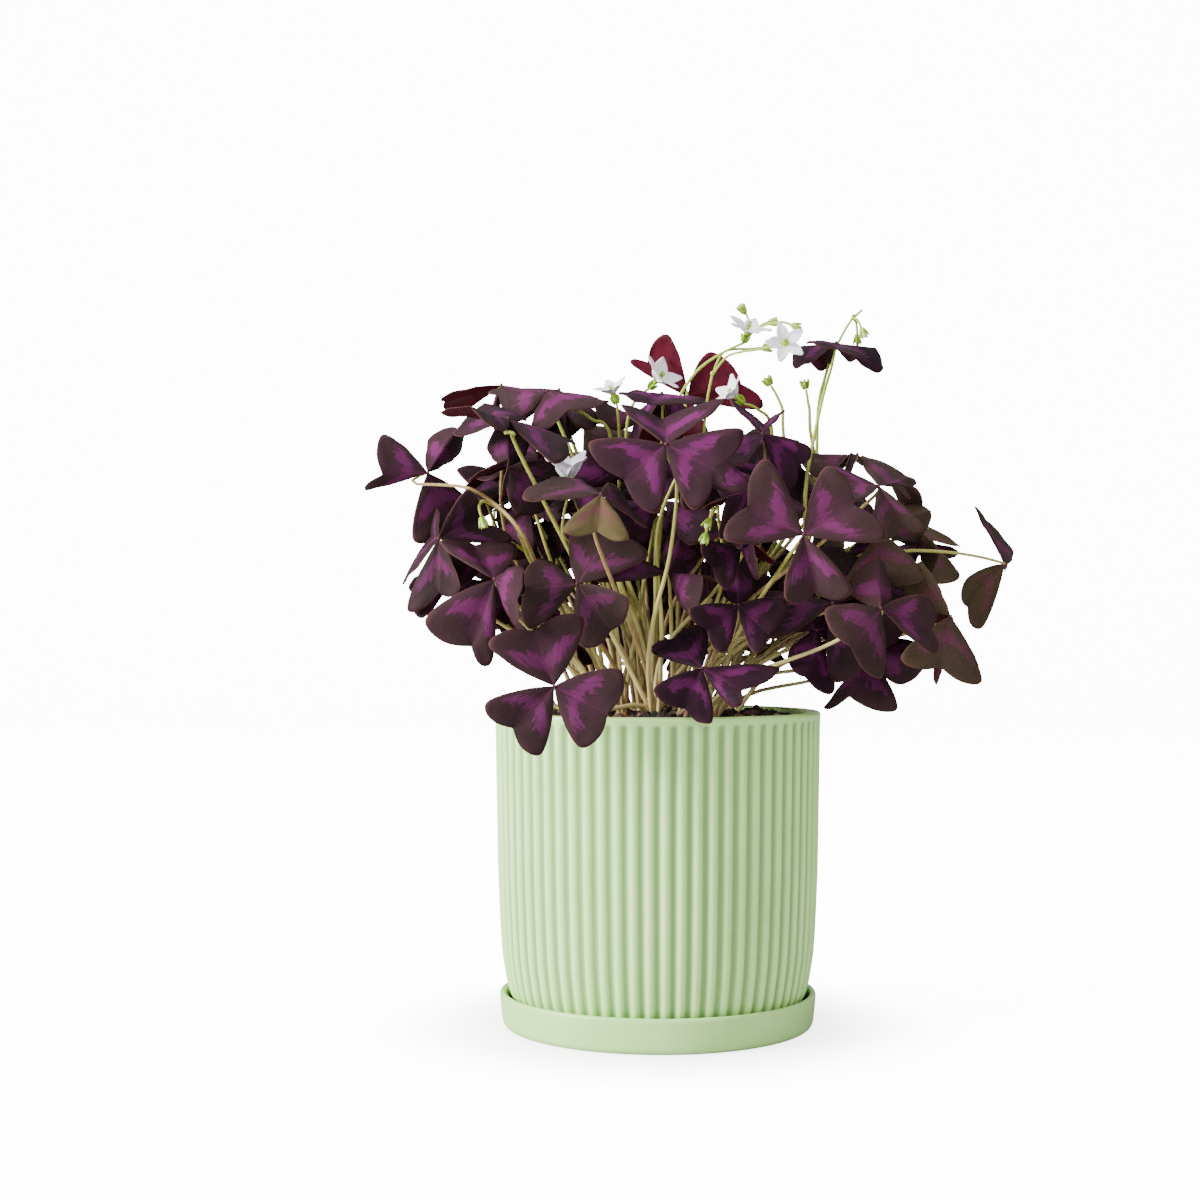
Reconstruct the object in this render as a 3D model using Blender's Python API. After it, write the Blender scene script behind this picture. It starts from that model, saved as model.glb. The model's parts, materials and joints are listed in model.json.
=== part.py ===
"""Potted purple shamrock: a clump of Oxalis triangularis in a fluted ceramic pot on its saucer.

Metres, +Z up. The saucer's underside is centred on the origin, and the front looks along -Y.
Every leaf is a trefoil of three folded leaflets on its own stalk. The stalks, flower stems and
buds rise from a cluster of scaly bulbs in a recess of the soil and are one body with it.
"""

import math
import random
from typing import NamedTuple

import bmesh
import bpy
import numpy as np
from mathutils import Vector
from mathutils.bvhtree import BVHTree

MM = 0.001

# Points round a plain ring and round a fluted one of the pot
RIBS = 66
PLAIN = 44
FLUTED = 2 * RIBS
RIB_DEPTH = 1.2 * MM

# Pot, from the drain hole out under the foot, up the fluted wall, over the lip and back inside:
# each ring's radius and height in mm and its points
POT_RINGS = (
    (6.0, 6.8, 12), (46.0, 6.8, PLAIN), (48.0, 5.3, PLAIN), (58.5, 5.3, PLAIN),
    (67.8, 13.5, FLUTED), (72.6, 45.0, FLUTED), (74.9, 136.0, FLUTED),
    (75.0, 140.0, PLAIN), (75.0, 143.2, PLAIN), (74.1, 144.2, PLAIN),
    (71.4, 144.2, PLAIN), (70.5, 143.2, PLAIN), (65.9, 20.0, PLAIN), (58.0, 11.0, PLAIN),
    (6.0, 11.0, 12),
)

# Saucer, from its underside up the wall, over the edge and in to its floor: radius and height in
# mm
SAUCER_SIDES = 40
SAUCER_RINGS = (
    (68.5, 0.0), (70.9, 1.3), (71.7, 4.0), (72.6, 14.6), (71.8, 16.0),
    (70.2, 16.0), (69.4, 14.6), (68.7, 7.0), (66.0, 5.0),
)

# Soil, from the pot's floor up its wall, over a low crown and down a round recess for the bulbs:
# radius and height in mm. The uneven rings are raised and lowered by up to the swell.
SOIL_RINGS = (
    (57.2, 11.3), (65.44, 20.4), (69.94, 138.7), (62.0, 140.1), (53.0, 141.4), (44.0, 142.0),
    (43.0, 128.0),
)
UNEVEN_RINGS = (4, 5)
SOIL_SWELL = 0.9 * MM

# How far apart pieces are that rest against each other
SEAT_GAP = 0.3 * MM

# Bulbs, spindles from the recess's floor up
RECESS_FLOOR = 128.0 * MM
BULB_GIRTH_HEIGHT = RECESS_FLOOR + 6.5 * MM
BULB_FIELD = 33.0 * MM
BULB_SPACING = 16.0 * MM
BULB_RADIUS = 9.6 * MM
BULB_TOP = 145.0 * MM
BULB_SIDES = 6

# Leaf blades
BLADE = 0.7 * MM
HUB_RADIUS = 2.0 * MM
DROOP = math.radians(14)
CLEARANCE = 0.55 * MM
SETTLE_STEP = 1.5 * MM
SETTLE_TRIES = 60

# Stalks
STALK_SIDES = 3
STALK_STEPS = 4
STALK_FOOT = 1.15 * MM
STALK_NECK = 0.75 * MM
STALK_TIP = 0.35 * MM
STALK_END = 5.0 * MM
STALK_SHORT = 0.45 * MM
STALK_GAP = 0.35 * MM
STALK_TRIES = 300
SPRAY_STALK_TRIES = 50
SAMPLE = 1.2 * MM
STEM_FOOT = 1.0 * MM
STEM_TIP = 0.6 * MM
SPROUT_HEIGHT = 139.0 * MM

# Flowers, and what else a stem may end in: its length and greatest radius
PETALS = 5
STEM_ENDS = {
    "calyx": (4.5 * MM, 1.9 * MM),
    "bud": (5.5 * MM, 1.5 * MM),
    "pod": (5.0 * MM, 2.0 * MM),
    "knot": (2.6 * MM, 1.2 * MM),
    "tip": (1.6 * MM, 0.8 * MM),
}

# The front view: the eye's distance and height, and how its picture is scaled
EYE = np.array((0.0, -912.0, 182.7)) * MM
AXIS_U = 657.5
HORIZON_V = 627.0
PICTURE_FOCAL = 1970.0

SEED = 20


class Outline(NamedTuple):
    """One half of a lobe, flat, in side lengths: the margin from the hub to the tip as
    (along, across) the midrib, the midrib point that faces each, the margin point that a corner
    reading gives, and the length of the midrib."""

    margin: tuple
    midrib: tuple
    corner: tuple
    tip: float


CORNER = (0.765, 0.635)
LEAFLET = Outline(((0.38, 0.44), CORNER, (0.915, 0.32)), (0.36, 0.66, 0.78), CORNER, 0.84)
PETAL_OUTLINE = Outline(((0.40, 0.10), (0.82, 0.22)), (0.40, 0.78), (0.82, 0.22), 1.0)
CORNER_ANGLE = math.atan2(CORNER[1], CORNER[0])


class Leaf(NamedTuple):
    """A trefoil as it shows in the front view.

    hub is its place in the picture and depth its distance behind the pot's axis. Each leaflet
    gives its two outer corners, counterclockwise seen from the upper face, and between them the
    notch where it shows, as picture places and a lean: -1 to the front, 1 to the back, 0 level.
    hang is how far its other leaflets droop.
    """

    hub: tuple
    depth: float
    side: float
    leaflets: tuple
    hang: float = 0.35


LEAVES = (
    Leaf((554, 686), -92, 32.5, (
        ((486, 703, -0.3), (513, 728, -0.3), (541, 754, -0.3)),
        ((580, 747, -0.3), (607, 714, -0.3), (620, 670, 0)),
        ((584, 618, 1), (534, 631, 0.5), (489, 645, 0)))),
    Leaf((803, 535), -82, 35, (
        ((767, 460, 0), (748, 507, 0), (727, 541, -0.6)),
        ((784, 596, -0.9), (814, 593, -0.6), (851, 590, -0.6)),
        ((884, 540, 0), (854, 506, 0.3), (826, 467, 0.5)))),
    Leaf((666, 444), -74, 33.5, (
        ((590, 442, 0), (624, 479, -0.3), (657, 512, -0.6)),
        ((692, 509, -0.6), (714, 470, -0.3), (742, 430, 0)),
        ((723, 400, 0.9), (662, 419, 1), (621, 405, 0.8)))),
    Leaf((601, 494), -72, 31, (
        ((563, 530, -0.9), (597, 531, -0.7), (629, 538, -0.8)),
        ((646, 527, 0), (629, 507, 0.4), (613, 483, 1)))),
    Leaf((880, 608), -66, 33, (
        ((891, 593, 1), (847, 586, 1)),
        ((825, 610, -0.4), (851, 647, -1), (881, 677, -0.7)),
        ((930, 653, 0), (930, 629, 0.5), (926, 596, 0.3)))),
    Leaf((494, 579), -66, 35, (
        ((516, 546, 0.9), (473, 546, 1), (439, 543, 1)),
        ((425, 620, 0.2), (471, 646, -0.4), (492, 661, 0)),
        ((515, 627, -1), (517, 599, -1), (521, 567, -0.4)))),
    Leaf((702, 668), -60, 31, (
        ((705, 626, 1), (673, 639, 0.8), (652, 652, 0.7)),
        ((654, 689, -0.7), (685, 708, -0.8), (712, 721, -0.9)),
        ((731, 707, -0.7), (741, 690, -0.8), (778, 667, 0)))),
    Leaf((577, 584), -56, 31.8, (
        ((538, 558, 0.6), (526, 588, -0.3), (531, 629, -0.1)),
        ((580, 645, -0.2), (611, 630, -0.5), (627, 599, -0.6)))),
    Leaf((878, 486), -58, 32, (
        ((816, 459, 0.8), (837, 481, 0.2), (853, 501, -0.4)),
        ((875, 537, -1), (900, 527, -0.5), (922, 526, -0.5)),
        ((914, 486, 0.9), (905, 476, 1), (862, 456, 1)))),
    Leaf((738, 605), -50, 30, (
        ((757, 582, 1), (715, 581, 1)),
        ((690, 608, -0.8), (707, 629, -0.8), (725, 652, -0.8)),
        ((753, 652, -0.7), (768, 634, -0.4), (786, 600, 0.2)))),
    Leaf((741, 550), -46, 28, (
        ((778, 528, 1), (725, 524, 1)),
        ((703, 542, -0.7), (713, 567, -0.7), (728, 589, -0.8)),
        ((757, 579, -0.8), (774, 563, -0.6)))),
    Leaf((880, 533), -46, 33, (
        ((843, 587, -0.6), (881, 581, -0.5), (924, 578, -0.5)),
        ((916, 541, 1), (897, 505, 0.9)),
        ((864, 500, 1), (838, 539, 0.8)))),
    Leaf((949, 616), -46, 32.8, (
        ((936, 584, 0.6), (902, 592, 0.6)),
        ((900, 657, -0.6), (939, 667, -0.4), (980, 681, 0)))),
    Leaf((438, 538), -45, 32.9, (
        ((512, 542, -0.2), (481, 522, -0.1), (467, 490, -0.9)),
        ((437, 509, 1), (430, 536, 1), (401, 584, 0.6)),
        ((406, 609, -0.2), (439, 593, -0.4), (459, 586, -1)))),
    Leaf((762, 434), -44, 29, (
        ((796, 477, -0.6), (803, 452, -0.5), (807, 430, -0.4)),
        ((785, 410, 0.9), (764, 424, 1), (730, 400, 1)),
        ((724, 440, 0.4), (743, 463, -0.8)))),
    Leaf((508, 418), -40, 33, (
        ((530, 397, 1), (455, 411, 0.9)),
        ((442, 413, -0.4), (499, 430, -1)))),
    Leaf((427, 472), -34, 31.2, (
        ((461, 451, 1), (430, 435, 0.8)),
        ((381, 432, 0.4), (380, 474, -0.4), (364, 490, -0.4)))),
    Leaf((508, 467), -36, 31, (
        ((529, 444, 0.9), (487, 447, 0.8)),
        ((468, 479, -1), (500, 503, -1)),
        ((516, 513, 0.2), (553, 464, 0.2)))),
    Leaf((668, 573), -40, 32, (
        ((605, 547, 0.3), (592, 563, 0.1), (600, 582, -0.3)),
        ((690, 614, -0.7), (716, 581, -0.2)),
        ((706, 549, 0.9), (664, 539, 0.9)))),
    Leaf((755, 490), -44, 30.7, (
        ((723, 472, 1), (711, 485, 0.3)),
        ((703, 508, -0.5), (722, 539, -1)),
        ((773, 529, -0.3), (787, 496, 0.2)))),
    Leaf((832, 603), -42, 33, (
        ((768, 592, 0.2), (760, 616, 0), (776, 639, -0.2)),)),
    Leaf((816, 630), -34, 31, (
        ((787, 655, -0.2), (805, 677, -0.9), (834, 691, -0.2)),)),
    Leaf((868, 655), -30, 33, (
        ((860, 622, 1), (841, 648, 0.9)),
        ((823, 707, 0.3), (848, 697, -0.3), (896, 710, -0.6)),
        ((900, 685, 0.5), (907, 638, 0.8)))),
    Leaf((547, 390), -30, 31, (
        ((575, 388, 1), (550, 386, 1)),
        ((527, 399, 0.8), (514, 421, 0.3)))),
    Leaf((559, 389), -18, 33, (
        ((576, 427, -0.8), (600, 424, -0.5), (618, 427, 0)),
        ((600, 394, 0.5), (574, 389, 1)))),
    Leaf((570, 488), -30, 31, (
        ((555, 482, 0.8), (516, 507, 0.1)),
        ((601, 519, -0.7), (620, 497, -0.3)),
        ((622, 476, 0.5), (585, 459, 1)))),
    Leaf((529, 509), -14, 30, (
        ((560, 520, -0.6), (575, 492, 0)),)),
    Leaf((503, 506), -8, 28.7, (
        ((480, 518, -0.4), (501, 540, -0.8)),
        ((508, 535, 0.2), (532, 523, 0.6)))),
    Leaf((664, 500), -30, 32, (
        ((612, 503, 0.2), (632, 541, -0.5)),
        ((690, 545, -0.5), (708, 512, 0.3)))),
    Leaf((688, 397), 12, 32.8, (
        ((633, 365, 0.5), (648, 362, 0.4), (669, 335, 0)),
        ((710, 352, 0), (741, 384, 0), (760, 409, -0.5)))),
    Leaf((662, 393), -24, 31, (
        ((619, 392, -0.9), (651, 404, -1), (707, 402, -0.5)),
        ((704, 396, 0.8), (682, 385, 0.9)),
        ((649, 392, 1), (620, 393, 0.9)))),
    Leaf((836, 343), -5, 28, (
        ((806, 342, -0.8), (838, 350, -1), (869, 358, -0.8)),
        ((884, 363, 0.3), (858, 349, 1)),
        ((818, 337, 1), (790, 343, 0.3)))),
    Leaf((501, 384), -12, 30.4, (
        ((492, 378, 1), (483, 377, 1)),
        ((456, 412, 0.5), (439, 402, 0), (448, 392, -0.4)))),
    Leaf((857, 455), -22, 29.2, (
        ((816, 440, 0.8), (812, 456, -0.5)),
        ((834, 462, -1), (851, 470, -0.9)))),
    Leaf((914, 534), -22, 30, (
        ((960, 577, -0.3), (938, 551, -0.8)),)),
    Leaf((1003, 564), 0, 29, (
        ((980, 627, -0.1), (965, 607, 0.3), (964, 588, 0.5)),), 0.4),
    Leaf((822, 500), -32, 29, (
        ((801, 481, -0.2), (797, 504, -0.7)),)),
    Leaf((585, 424), 6, 29, (
        ((541, 428, 0.3), (545, 447, -0.4)),)),
    Leaf((602, 450), 12, 30, (
        ((563, 460, 0.5), (556, 440, -0.4)),)),
    Leaf((724, 640), -30, 29, (
        ((703, 656, -0.5), (747, 656, -0.6)),)),
    Leaf((668, 590), -12, 30, (
        ((655, 632, -0.5), (678, 630, -0.5)),)),
    Leaf((622, 590), -22, 30, (
        ((632, 623, -0.5), (650, 618, -0.3)),
        ((645, 575, 0.8), (600, 572, 0.8)))),
    Leaf((642, 420), 0, 29, (
        ((608, 413, 0.6), (606, 428, -0.2)),)),
)

# The first leaves of LEAVES show from the front and are set before the flowers; the others hang
# behind them
FRONT_LEAVES = 36

# Leaf stalks that show in the picture, by the leaf's place in LEAVES: where they pass, from the
# soil up, as picture places and depths
SEEN_STALKS = {
    0: ((590, 712, -50), (556, 706, -84)),
    2: ((650, 640, -52), (669, 560, -56), (677, 485, -60)),
    3: ((597, 542, -64),),
    13: ((548, 590, -20), (531, 556, -30), (500, 540, -38)),
    15: ((524, 462, -20), (514, 434, -32)),
    16: ((545, 580, -12), (520, 530, -22), (490, 500, -28), (462, 486, -28)),
    31: ((790, 600, -20), (806, 480, -24), (822, 400, -14)),
    35: ((800, 600, -20), (880, 556, -10), (940, 552, -4)),
}


class Stem(NamedTuple):
    """A flower stem, from its root up to what it ends in.

    root is a place in millimetres by the bulb that it grows from, or the number of the stem it
    branches from. way holds the picture places and depths that it passes.
    """

    root: tuple
    way: tuple
    end: str


STEMS = (
    Stem((4, -4), ((655, 560, -8), (664, 440, -6), (697, 371, -8), (744, 343, -10)), "calyx"),
    Stem((10, 4), ((700, 560, 6), (704, 430, 0), (712, 376, -6)), "knot"),
    Stem((-6, 2), ((622, 560, 10), (620, 450, 6), (617, 404, 2)), "calyx"),
    Stem((-2, -8), ((640, 560, -4), (636, 450, 2), (628, 408, 4), (645, 390, -12)), "calyx"),
    Stem((16, -2), ((748, 560, 4), (772, 440, 4), (760, 411, -8), (744, 404, -12)), "calyx"),
    Stem((-12, -6), ((600, 590, -36), (572, 530, -50), (569, 489, -56)), "calyx"),
    Stem((20, 8), ((803, 560, 10), (818, 410, 12), (835, 350, 14), (852, 319, 10)), "knot"),
    Stem((14, 10), ((776, 540, 14), (783, 430, 10), (780, 403, 8), (771, 386, 6)), "pod"),
    Stem((18, 2), ((806, 540, 18), (810, 430, 12), (808, 403, 10), (806, 390, 10)), "pod"),
    Stem((-14, 0), (
        (536, 570, -22), (515, 525, -38), (488, 502, -46), (479, 505, -50), (481, 516, -52)
    ), "bud"),
    Stem((8, -12), ((712, 600, -50), (722, 520, -58), (721, 502, -60), (716, 514, -62)), "bud"),
    Stem((-4, 6), ((612, 560, 6), (611, 440, 2), (594, 420, -2), (576, 409, -6)), "bud"),
    Stem(1, ((728, 356, -8), (755, 350, -14), (784, 346, -20)), "calyx"),
    Stem(1, ((724, 352, 0), (748, 349, 4), (762, 348, 6)), "pod"),
    Stem(0, ((754, 331, -6), (764, 324, -4), (767, 323, -4)), "bud"),
    Stem(0, ((750, 330, 0), (748, 318, 4), (746, 314, 4)), "bud"),
    Stem(0, ((758, 328, -12), (780, 322, -16), (790, 325, -18)), "bud"),
    Stem(6, ((857, 320, 6), (861, 328, 4)), "bud"),
    Stem(6, ((856, 323, 14), (857, 334, 16)), "bud"),
    Stem(6, ((857, 315, 10), (860, 312, 10)), "tip"),
    Stem(10, ((713, 508, -56), (706, 533, -62)), "bud"),
)


class Bloom(NamedTuple):
    """A flower: the number of its stem, the way its cup faces, how far its petals open from that
    way in degrees, the petals' length in millimetres and the cup's turn."""

    stem: int
    axis: tuple
    spread: float
    size: float
    roll: float


BLOOMS = (
    Bloom(0, (0.25, -0.45, 0.85), 62, 10.5, 10),
    Bloom(12, (0.05, -1.0, 0.10), 70, 8.8, 0),
    Bloom(2, (-0.30, -0.35, 0.85), 50, 9.0, 30),
    Bloom(3, (0.62, -0.45, 0.60), 48, 12.0, 20),
    Bloom(4, (-0.70, -0.40, 0.60), 42, 10.0, 0),
    Bloom(5, (-0.05, -0.35, 1.00), 34, 14.0, 12),
)

# Leaves inside and at the back, set by rule in sprays of touching leaves. They stay inside an
# outline of the clump in the picture and close the gaps that its front leaves leave.
BACK_SPRAYS = 7
SPRAY_LEAVES = 3
CLUMP_OUTLINE = (
    (455, 405), (600, 400), (700, 395), (790, 420), (870, 450), (925, 500), (960, 590),
    (955, 660), (880, 700), (835, 680), (800, 650), (700, 640), (600, 645), (560, 690),
    (500, 640), (430, 610), (420, 540), (455, 500), (445, 440),
)
CLUMP_CENTRE = np.array((0.0, 6.0, 165.0)) * MM
CLUMP_RADII = np.array((128.0, 112.0, 132.0)) * MM
BACK_SIDE = 32.0 * MM


def unit(vector):
    return vector / np.linalg.norm(vector)


def sight_ray(u, v):
    """Direction from the eye through the picture place (u, v), one unit deep."""
    return np.array(((u - AXIS_U) / PICTURE_FOCAL, 1.0, (HORIZON_V - v) / PICTURE_FOCAL))


def sight_point(u, v, depth):
    """Point seen at (u, v) that lies depth behind the pot's axis."""
    return EYE + sight_ray(u, v) * (depth - EYE[1])


def reach_point(hub, reading, length):
    """Vector from the hub to the point seen at a reading (u, v, lean), length from the hub.

    The line of sight meets the sphere round the hub twice. lean picks the near (-1) or the far
    (1) crossing, or a place between them; where the line misses, its nearest point is taken.
    """
    u, v, lean = reading
    ray = sight_ray(u, v)
    to_hub = hub - EYE
    size = ray @ ray
    nearest = ray @ to_hub / size
    spare = nearest**2 - (to_hub @ to_hub - length**2) / size
    return EYE + ray * (nearest + lean * math.sqrt(max(spare, 0.0))) - hub


def folded_midrib(first, last, length):
    """Midrib of a leaflet with drooping halves, from its two corners: their bisector, lifted
    towards the upper face until each half keeps its corner angle."""
    bisector = unit(first + last)
    upper = unit(np.cross(first, last))
    spread = max(unit(first) @ bisector, 0.2)
    lift = math.acos(min(math.cos(CORNER_ANGLE) / spread, 1.0))
    return length * (math.cos(lift) * bisector + math.sin(lift) * upper)


def open_leaflet(heading, upper, side):
    """An unmeasured leaflet: open along a heading, with both halves drooping from the midrib."""
    along = unit(heading)
    across = unit(np.cross(upper, along))
    sink = -math.sin(DROOP) * unit(upper)
    first, last = (
        side * (math.cos(CORNER_ANGLE) * along + math.sin(CORNER_ANGLE) * (turn * across + sink))
        for turn in (-1, 1)
    )
    return first, side * LEAFLET.tip * along, last


def turned(vector, axis, angle):
    """The vector turned about a unit axis, by Rodrigues' formula."""
    return (
        vector * math.cos(angle)
        + np.cross(axis, vector) * math.sin(angle)
        + axis * (axis @ vector) * (1 - math.cos(angle))
    )


def leaf_lobes(leaf, hub):
    """(corner, notch, corner) vectors of a leaf's three leaflets, counterclockwise from above.

    Leaflets that are not measured fill the gap, hanging a little below the hub's plane.
    """
    side = leaf.side * MM
    lobes = []
    for readings in leaf.leaflets:
        first = reach_point(hub, readings[0], side)
        last = reach_point(hub, readings[-1], side)
        if len(readings) == 3:
            tip = reach_point(hub, readings[1], LEAFLET.tip * side)
        else:
            tip = folded_midrib(first, last, LEAFLET.tip * side)
        lobes.append((first, tip, last))
    upper = unit(sum(unit(np.cross(first, last)) for first, _, last in lobes))
    flat = [unit(tip - upper * (tip @ upper)) for _, tip, _ in lobes]
    hang = leaf.hang * upper
    if len(lobes) == 1:
        for turn in (1, 2):
            heading = turned(flat[0], upper, turn * math.tau / 3)
            lobes.append(open_leaflet(heading - hang, upper, side))
    elif len(lobes) == 2:
        lobes.append(open_leaflet(-unit(flat[0] + flat[1]) - hang, upper, side))
    return lobes


def star_surface(lobes, hub_radius, outline):
    """Points and triangles of the upper face of leaflets or petals round a hub at the origin.

    A half lobe is the flat outline half laid on the plane of the lobe's midrib and corner, and
    neighbouring lobes share a point beside the hub.
    """
    points = [np.zeros(3)]
    count = len(lobes)
    for index in range(count):
        before, after = lobes[index - 1], lobes[index]
        between = unit(before[2]) + unit(after[0])
        if np.linalg.norm(between) < 0.3:
            between = -unit(before[1]) - unit(after[1])
        points.append(hub_radius * unit(between))
    corner_along, corner_across = outline.corner
    triangles = []
    for index, (first, tip, last) in enumerate(lobes):
        rows = [(1 + index, 0, 1 + (index + 1) % count)]
        for (along, across), rib in zip(outline.margin, outline.midrib):
            part = across / corner_across
            rest = tip * (along - corner_along * part) / outline.tip
            points += [first * part + rest, tip * rib / outline.tip, last * part + rest]
            rows.append((len(points) - 3, len(points) - 2, len(points) - 1))
        points.append(tip)
        end = len(points) - 1
        for (right, middle, left), (next_right, next_middle, next_left) in zip(rows, rows[1:]):
            triangles += [(middle, right, next_right), (middle, next_right, next_middle)]
            triangles += [(middle, next_middle, next_left), (middle, next_left, left)]
        right, middle, left = rows[-1]
        triangles += [(middle, right, end), (middle, end, left)]
    return np.array(points), np.array(triangles)


def vertex_normals(points, triangles):
    """Unit normals at the points, each from the sum of its triangles' area vectors."""
    corners = points[triangles]
    areas = np.cross(corners[:, 1] - corners[:, 0], corners[:, 2] - corners[:, 0])
    normals = np.zeros_like(points)
    for column in range(3):
        np.add.at(normals, triangles[:, column], areas)
    return normals / np.linalg.norm(normals, axis=1, keepdims=True)


def blade_solid(points, triangles, above, below):
    """Closed solid of a thin blade: the surface moved up and down its normals, with an edge."""
    normals = vertex_normals(points, triangles)
    edges = {(int(tri[i]), int(tri[(i + 1) % 3])) for tri in triangles for i in range(3)}
    rim = sorted(edge for edge in edges if edge[::-1] not in edges)
    count = len(points)
    faces = [tuple(int(i) for i in tri) for tri in triangles]
    faces += [(c + count, b + count, a + count) for a, b, c in faces]
    for a, b in rim:
        faces += [(b, a, a + count), (b, a + count, b + count)]
    return np.vstack((points + normals * above, points - normals * below)), faces


def tree_of(points, faces):
    return BVHTree.FromPolygons([tuple(p) for p in points], faces)


def map_trees(solids):
    return [tree_of(*solid) for solid in solids]


class Placed(NamedTuple):
    """A leaf or bloom in its place: its hub, the hub's upward normal, and its upper face as
    points from the hub and triangles."""

    hub: np.ndarray
    upper: np.ndarray
    points: np.ndarray
    triangles: np.ndarray

    def solid(self, above=0.0, below=BLADE):
        return blade_solid(self.points + self.hub, self.triangles, above, below)


def placed(hub, lobes, outline):
    points, triangles = star_surface(lobes, HUB_RADIUS, outline)
    return Placed(hub, vertex_normals(points, triangles)[0], points, triangles)


def measured_leaves(measured, trees):
    """Leaves as they are measured, each set back along its line of sight until it is clear of
    what is placed. Adds each one's tree to trees."""
    leaves = []
    for leaf in measured:
        start = sight_point(*leaf.hub, leaf.depth * MM)
        lobes = leaf_lobes(leaf, start)
        for step in range(SETTLE_TRIES):
            hub = start + sight_ray(*leaf.hub) * SETTLE_STEP * step
            trefoil = placed(hub, lobes, LEAFLET)
            thick = tree_of(*trefoil.solid(CLEARANCE, BLADE + CLEARANCE))
            if not any(thick.overlap(other) for other in trees):
                break
        else:
            raise RuntimeError(f"the leaf at {leaf.hub} finds no room")
        leaves.append(trefoil)
        trees.append(tree_of(*trefoil.solid()))
    return leaves


def shell_place(draw, azimuth):
    """A place for a leaf's hub inside the clump's shell, about an azimuth."""
    turn, height = azimuth + draw.uniform(-0.7, 0.7), draw.uniform(-0.1, 1.3)
    out = np.array((math.cos(turn) * math.cos(height), math.sin(turn) * math.cos(height),
                    math.sin(height)))
    return CLUMP_CENTRE + out * CLUMP_RADII * draw.uniform(0.25, 0.97)


def spread_leaf(draw, hub):
    """A leaf by rule: its upper face turned up and a little away from the clump's middle, its
    leaflets hanging by different amounts."""
    upper = unit(unit(hub - CLUMP_CENTRE) + np.array((0, 0, draw.uniform(0.6, 1.6))))
    heading = unit(np.cross(upper, (draw.uniform(-1, 1), draw.uniform(-1, 1), 0.2)))
    side = BACK_SIDE * draw.uniform(0.90, 1.08)
    lobes = []
    for turn in range(3):
        along = turned(heading, upper, turn * math.tau / 3 + draw.uniform(-0.12, 0.12))
        sag = draw.uniform(0.1, 0.7)
        lobes.append(open_leaflet(along - sag * upper, unit(upper + sag * along), side))
    return placed(hub, lobes, LEAFLET)


def ring(radius, height, sides, rib=0.0, turn=0.0):
    """Points of a level ring; rib takes that much off the radius at every second point."""
    points = []
    for index in range(sides):
        angle = math.tau * index / sides + turn
        inset = radius - (rib if index % 2 else 0.0)
        points.append((inset * math.cos(angle), inset * math.sin(angle), height))
    return points


def stitched(rings, closed):
    """Vertices and triangles of a skin over level rings, which may differ in their count.

    From ring to ring it steps to whichever next point comes first round the axis. A skin that is
    not closed on itself ends in a flat cap at both ends.
    """
    verts, faces, starts = [], [], []
    for points in rings:
        starts.append(len(verts))
        verts += points
    pairs = list(zip(range(len(rings)), range(1, len(rings))))
    if closed:
        pairs.append((len(rings) - 1, 0))
    for low, high in pairs:
        low_count, high_count = len(rings[low]), len(rings[high])
        i = j = 0
        while i < low_count or j < high_count:
            a, b = starts[low] + i % low_count, starts[high] + j % high_count
            if j >= high_count or (i < low_count and (i + 1) * high_count <= (j + 1) * low_count):
                i += 1
                faces.append((a, starts[low] + i % low_count, b))
            else:
                j += 1
                faces.append((a, starts[high] + j % high_count, b))
    if not closed:
        faces.append(tuple(range(len(rings[0])))[::-1])
        faces.append(tuple(starts[-1] + i for i in range(len(rings[-1]))))
    return verts, faces


def material(name, colour, roughness):
    made = bpy.data.materials.new(name)
    made.use_nodes = True
    shader = made.node_tree.nodes["Principled BSDF"]
    shader.inputs["Base Color"].default_value = (*colour, 1.0)
    shader.inputs["Roughness"].default_value = roughness
    return made


def add_object(name, verts, faces, finish):
    """A smooth-shaded object of a closed mesh, its faces turned outwards."""
    mesh = bpy.data.meshes.new(name)
    mesh.from_pydata([tuple(v) for v in verts], [], faces)
    work = bmesh.new()
    work.from_mesh(mesh)
    bmesh.ops.recalc_face_normals(work, faces=work.faces)
    work.to_mesh(mesh)
    work.free()
    mesh.materials.append(finish)
    mesh.shade_smooth()
    mesh.set_sharp_from_angle(angle=math.radians(35))
    made = bpy.data.objects.new(name, mesh)
    bpy.context.collection.objects.link(made)
    return made


def fused_object(name, solids, finish, solver="EXACT"):
    """One body from overlapping solids, by a Boolean union of all of them."""
    group = bpy.data.collections.new(name + "_members")
    bpy.context.scene.collection.children.link(group)
    first, *rest = solids
    made = add_object(name, *first, finish)
    for index, solid in enumerate(rest):
        member = add_object(f"{name}_{index}", *solid, finish)
        bpy.context.collection.objects.unlink(member)
        group.objects.link(member)
    union = made.modifiers.new("Union", "BOOLEAN")
    union.operation = "UNION"
    union.operand_type = "COLLECTION"
    union.collection = group
    union.solver = solver
    bpy.context.view_layer.update()
    graph = bpy.context.evaluated_depsgraph_get()
    mesh = bpy.data.meshes.new_from_object(made.evaluated_get(graph))
    made.modifiers.clear()
    made.data = mesh
    keep_largest_body(mesh)
    for member in list(group.objects):
        bpy.data.objects.remove(member)
    bpy.data.collections.remove(group)
    mesh.name = name
    mesh.shade_smooth()
    mesh.set_sharp_from_angle(angle=math.radians(35))
    return made


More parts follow.
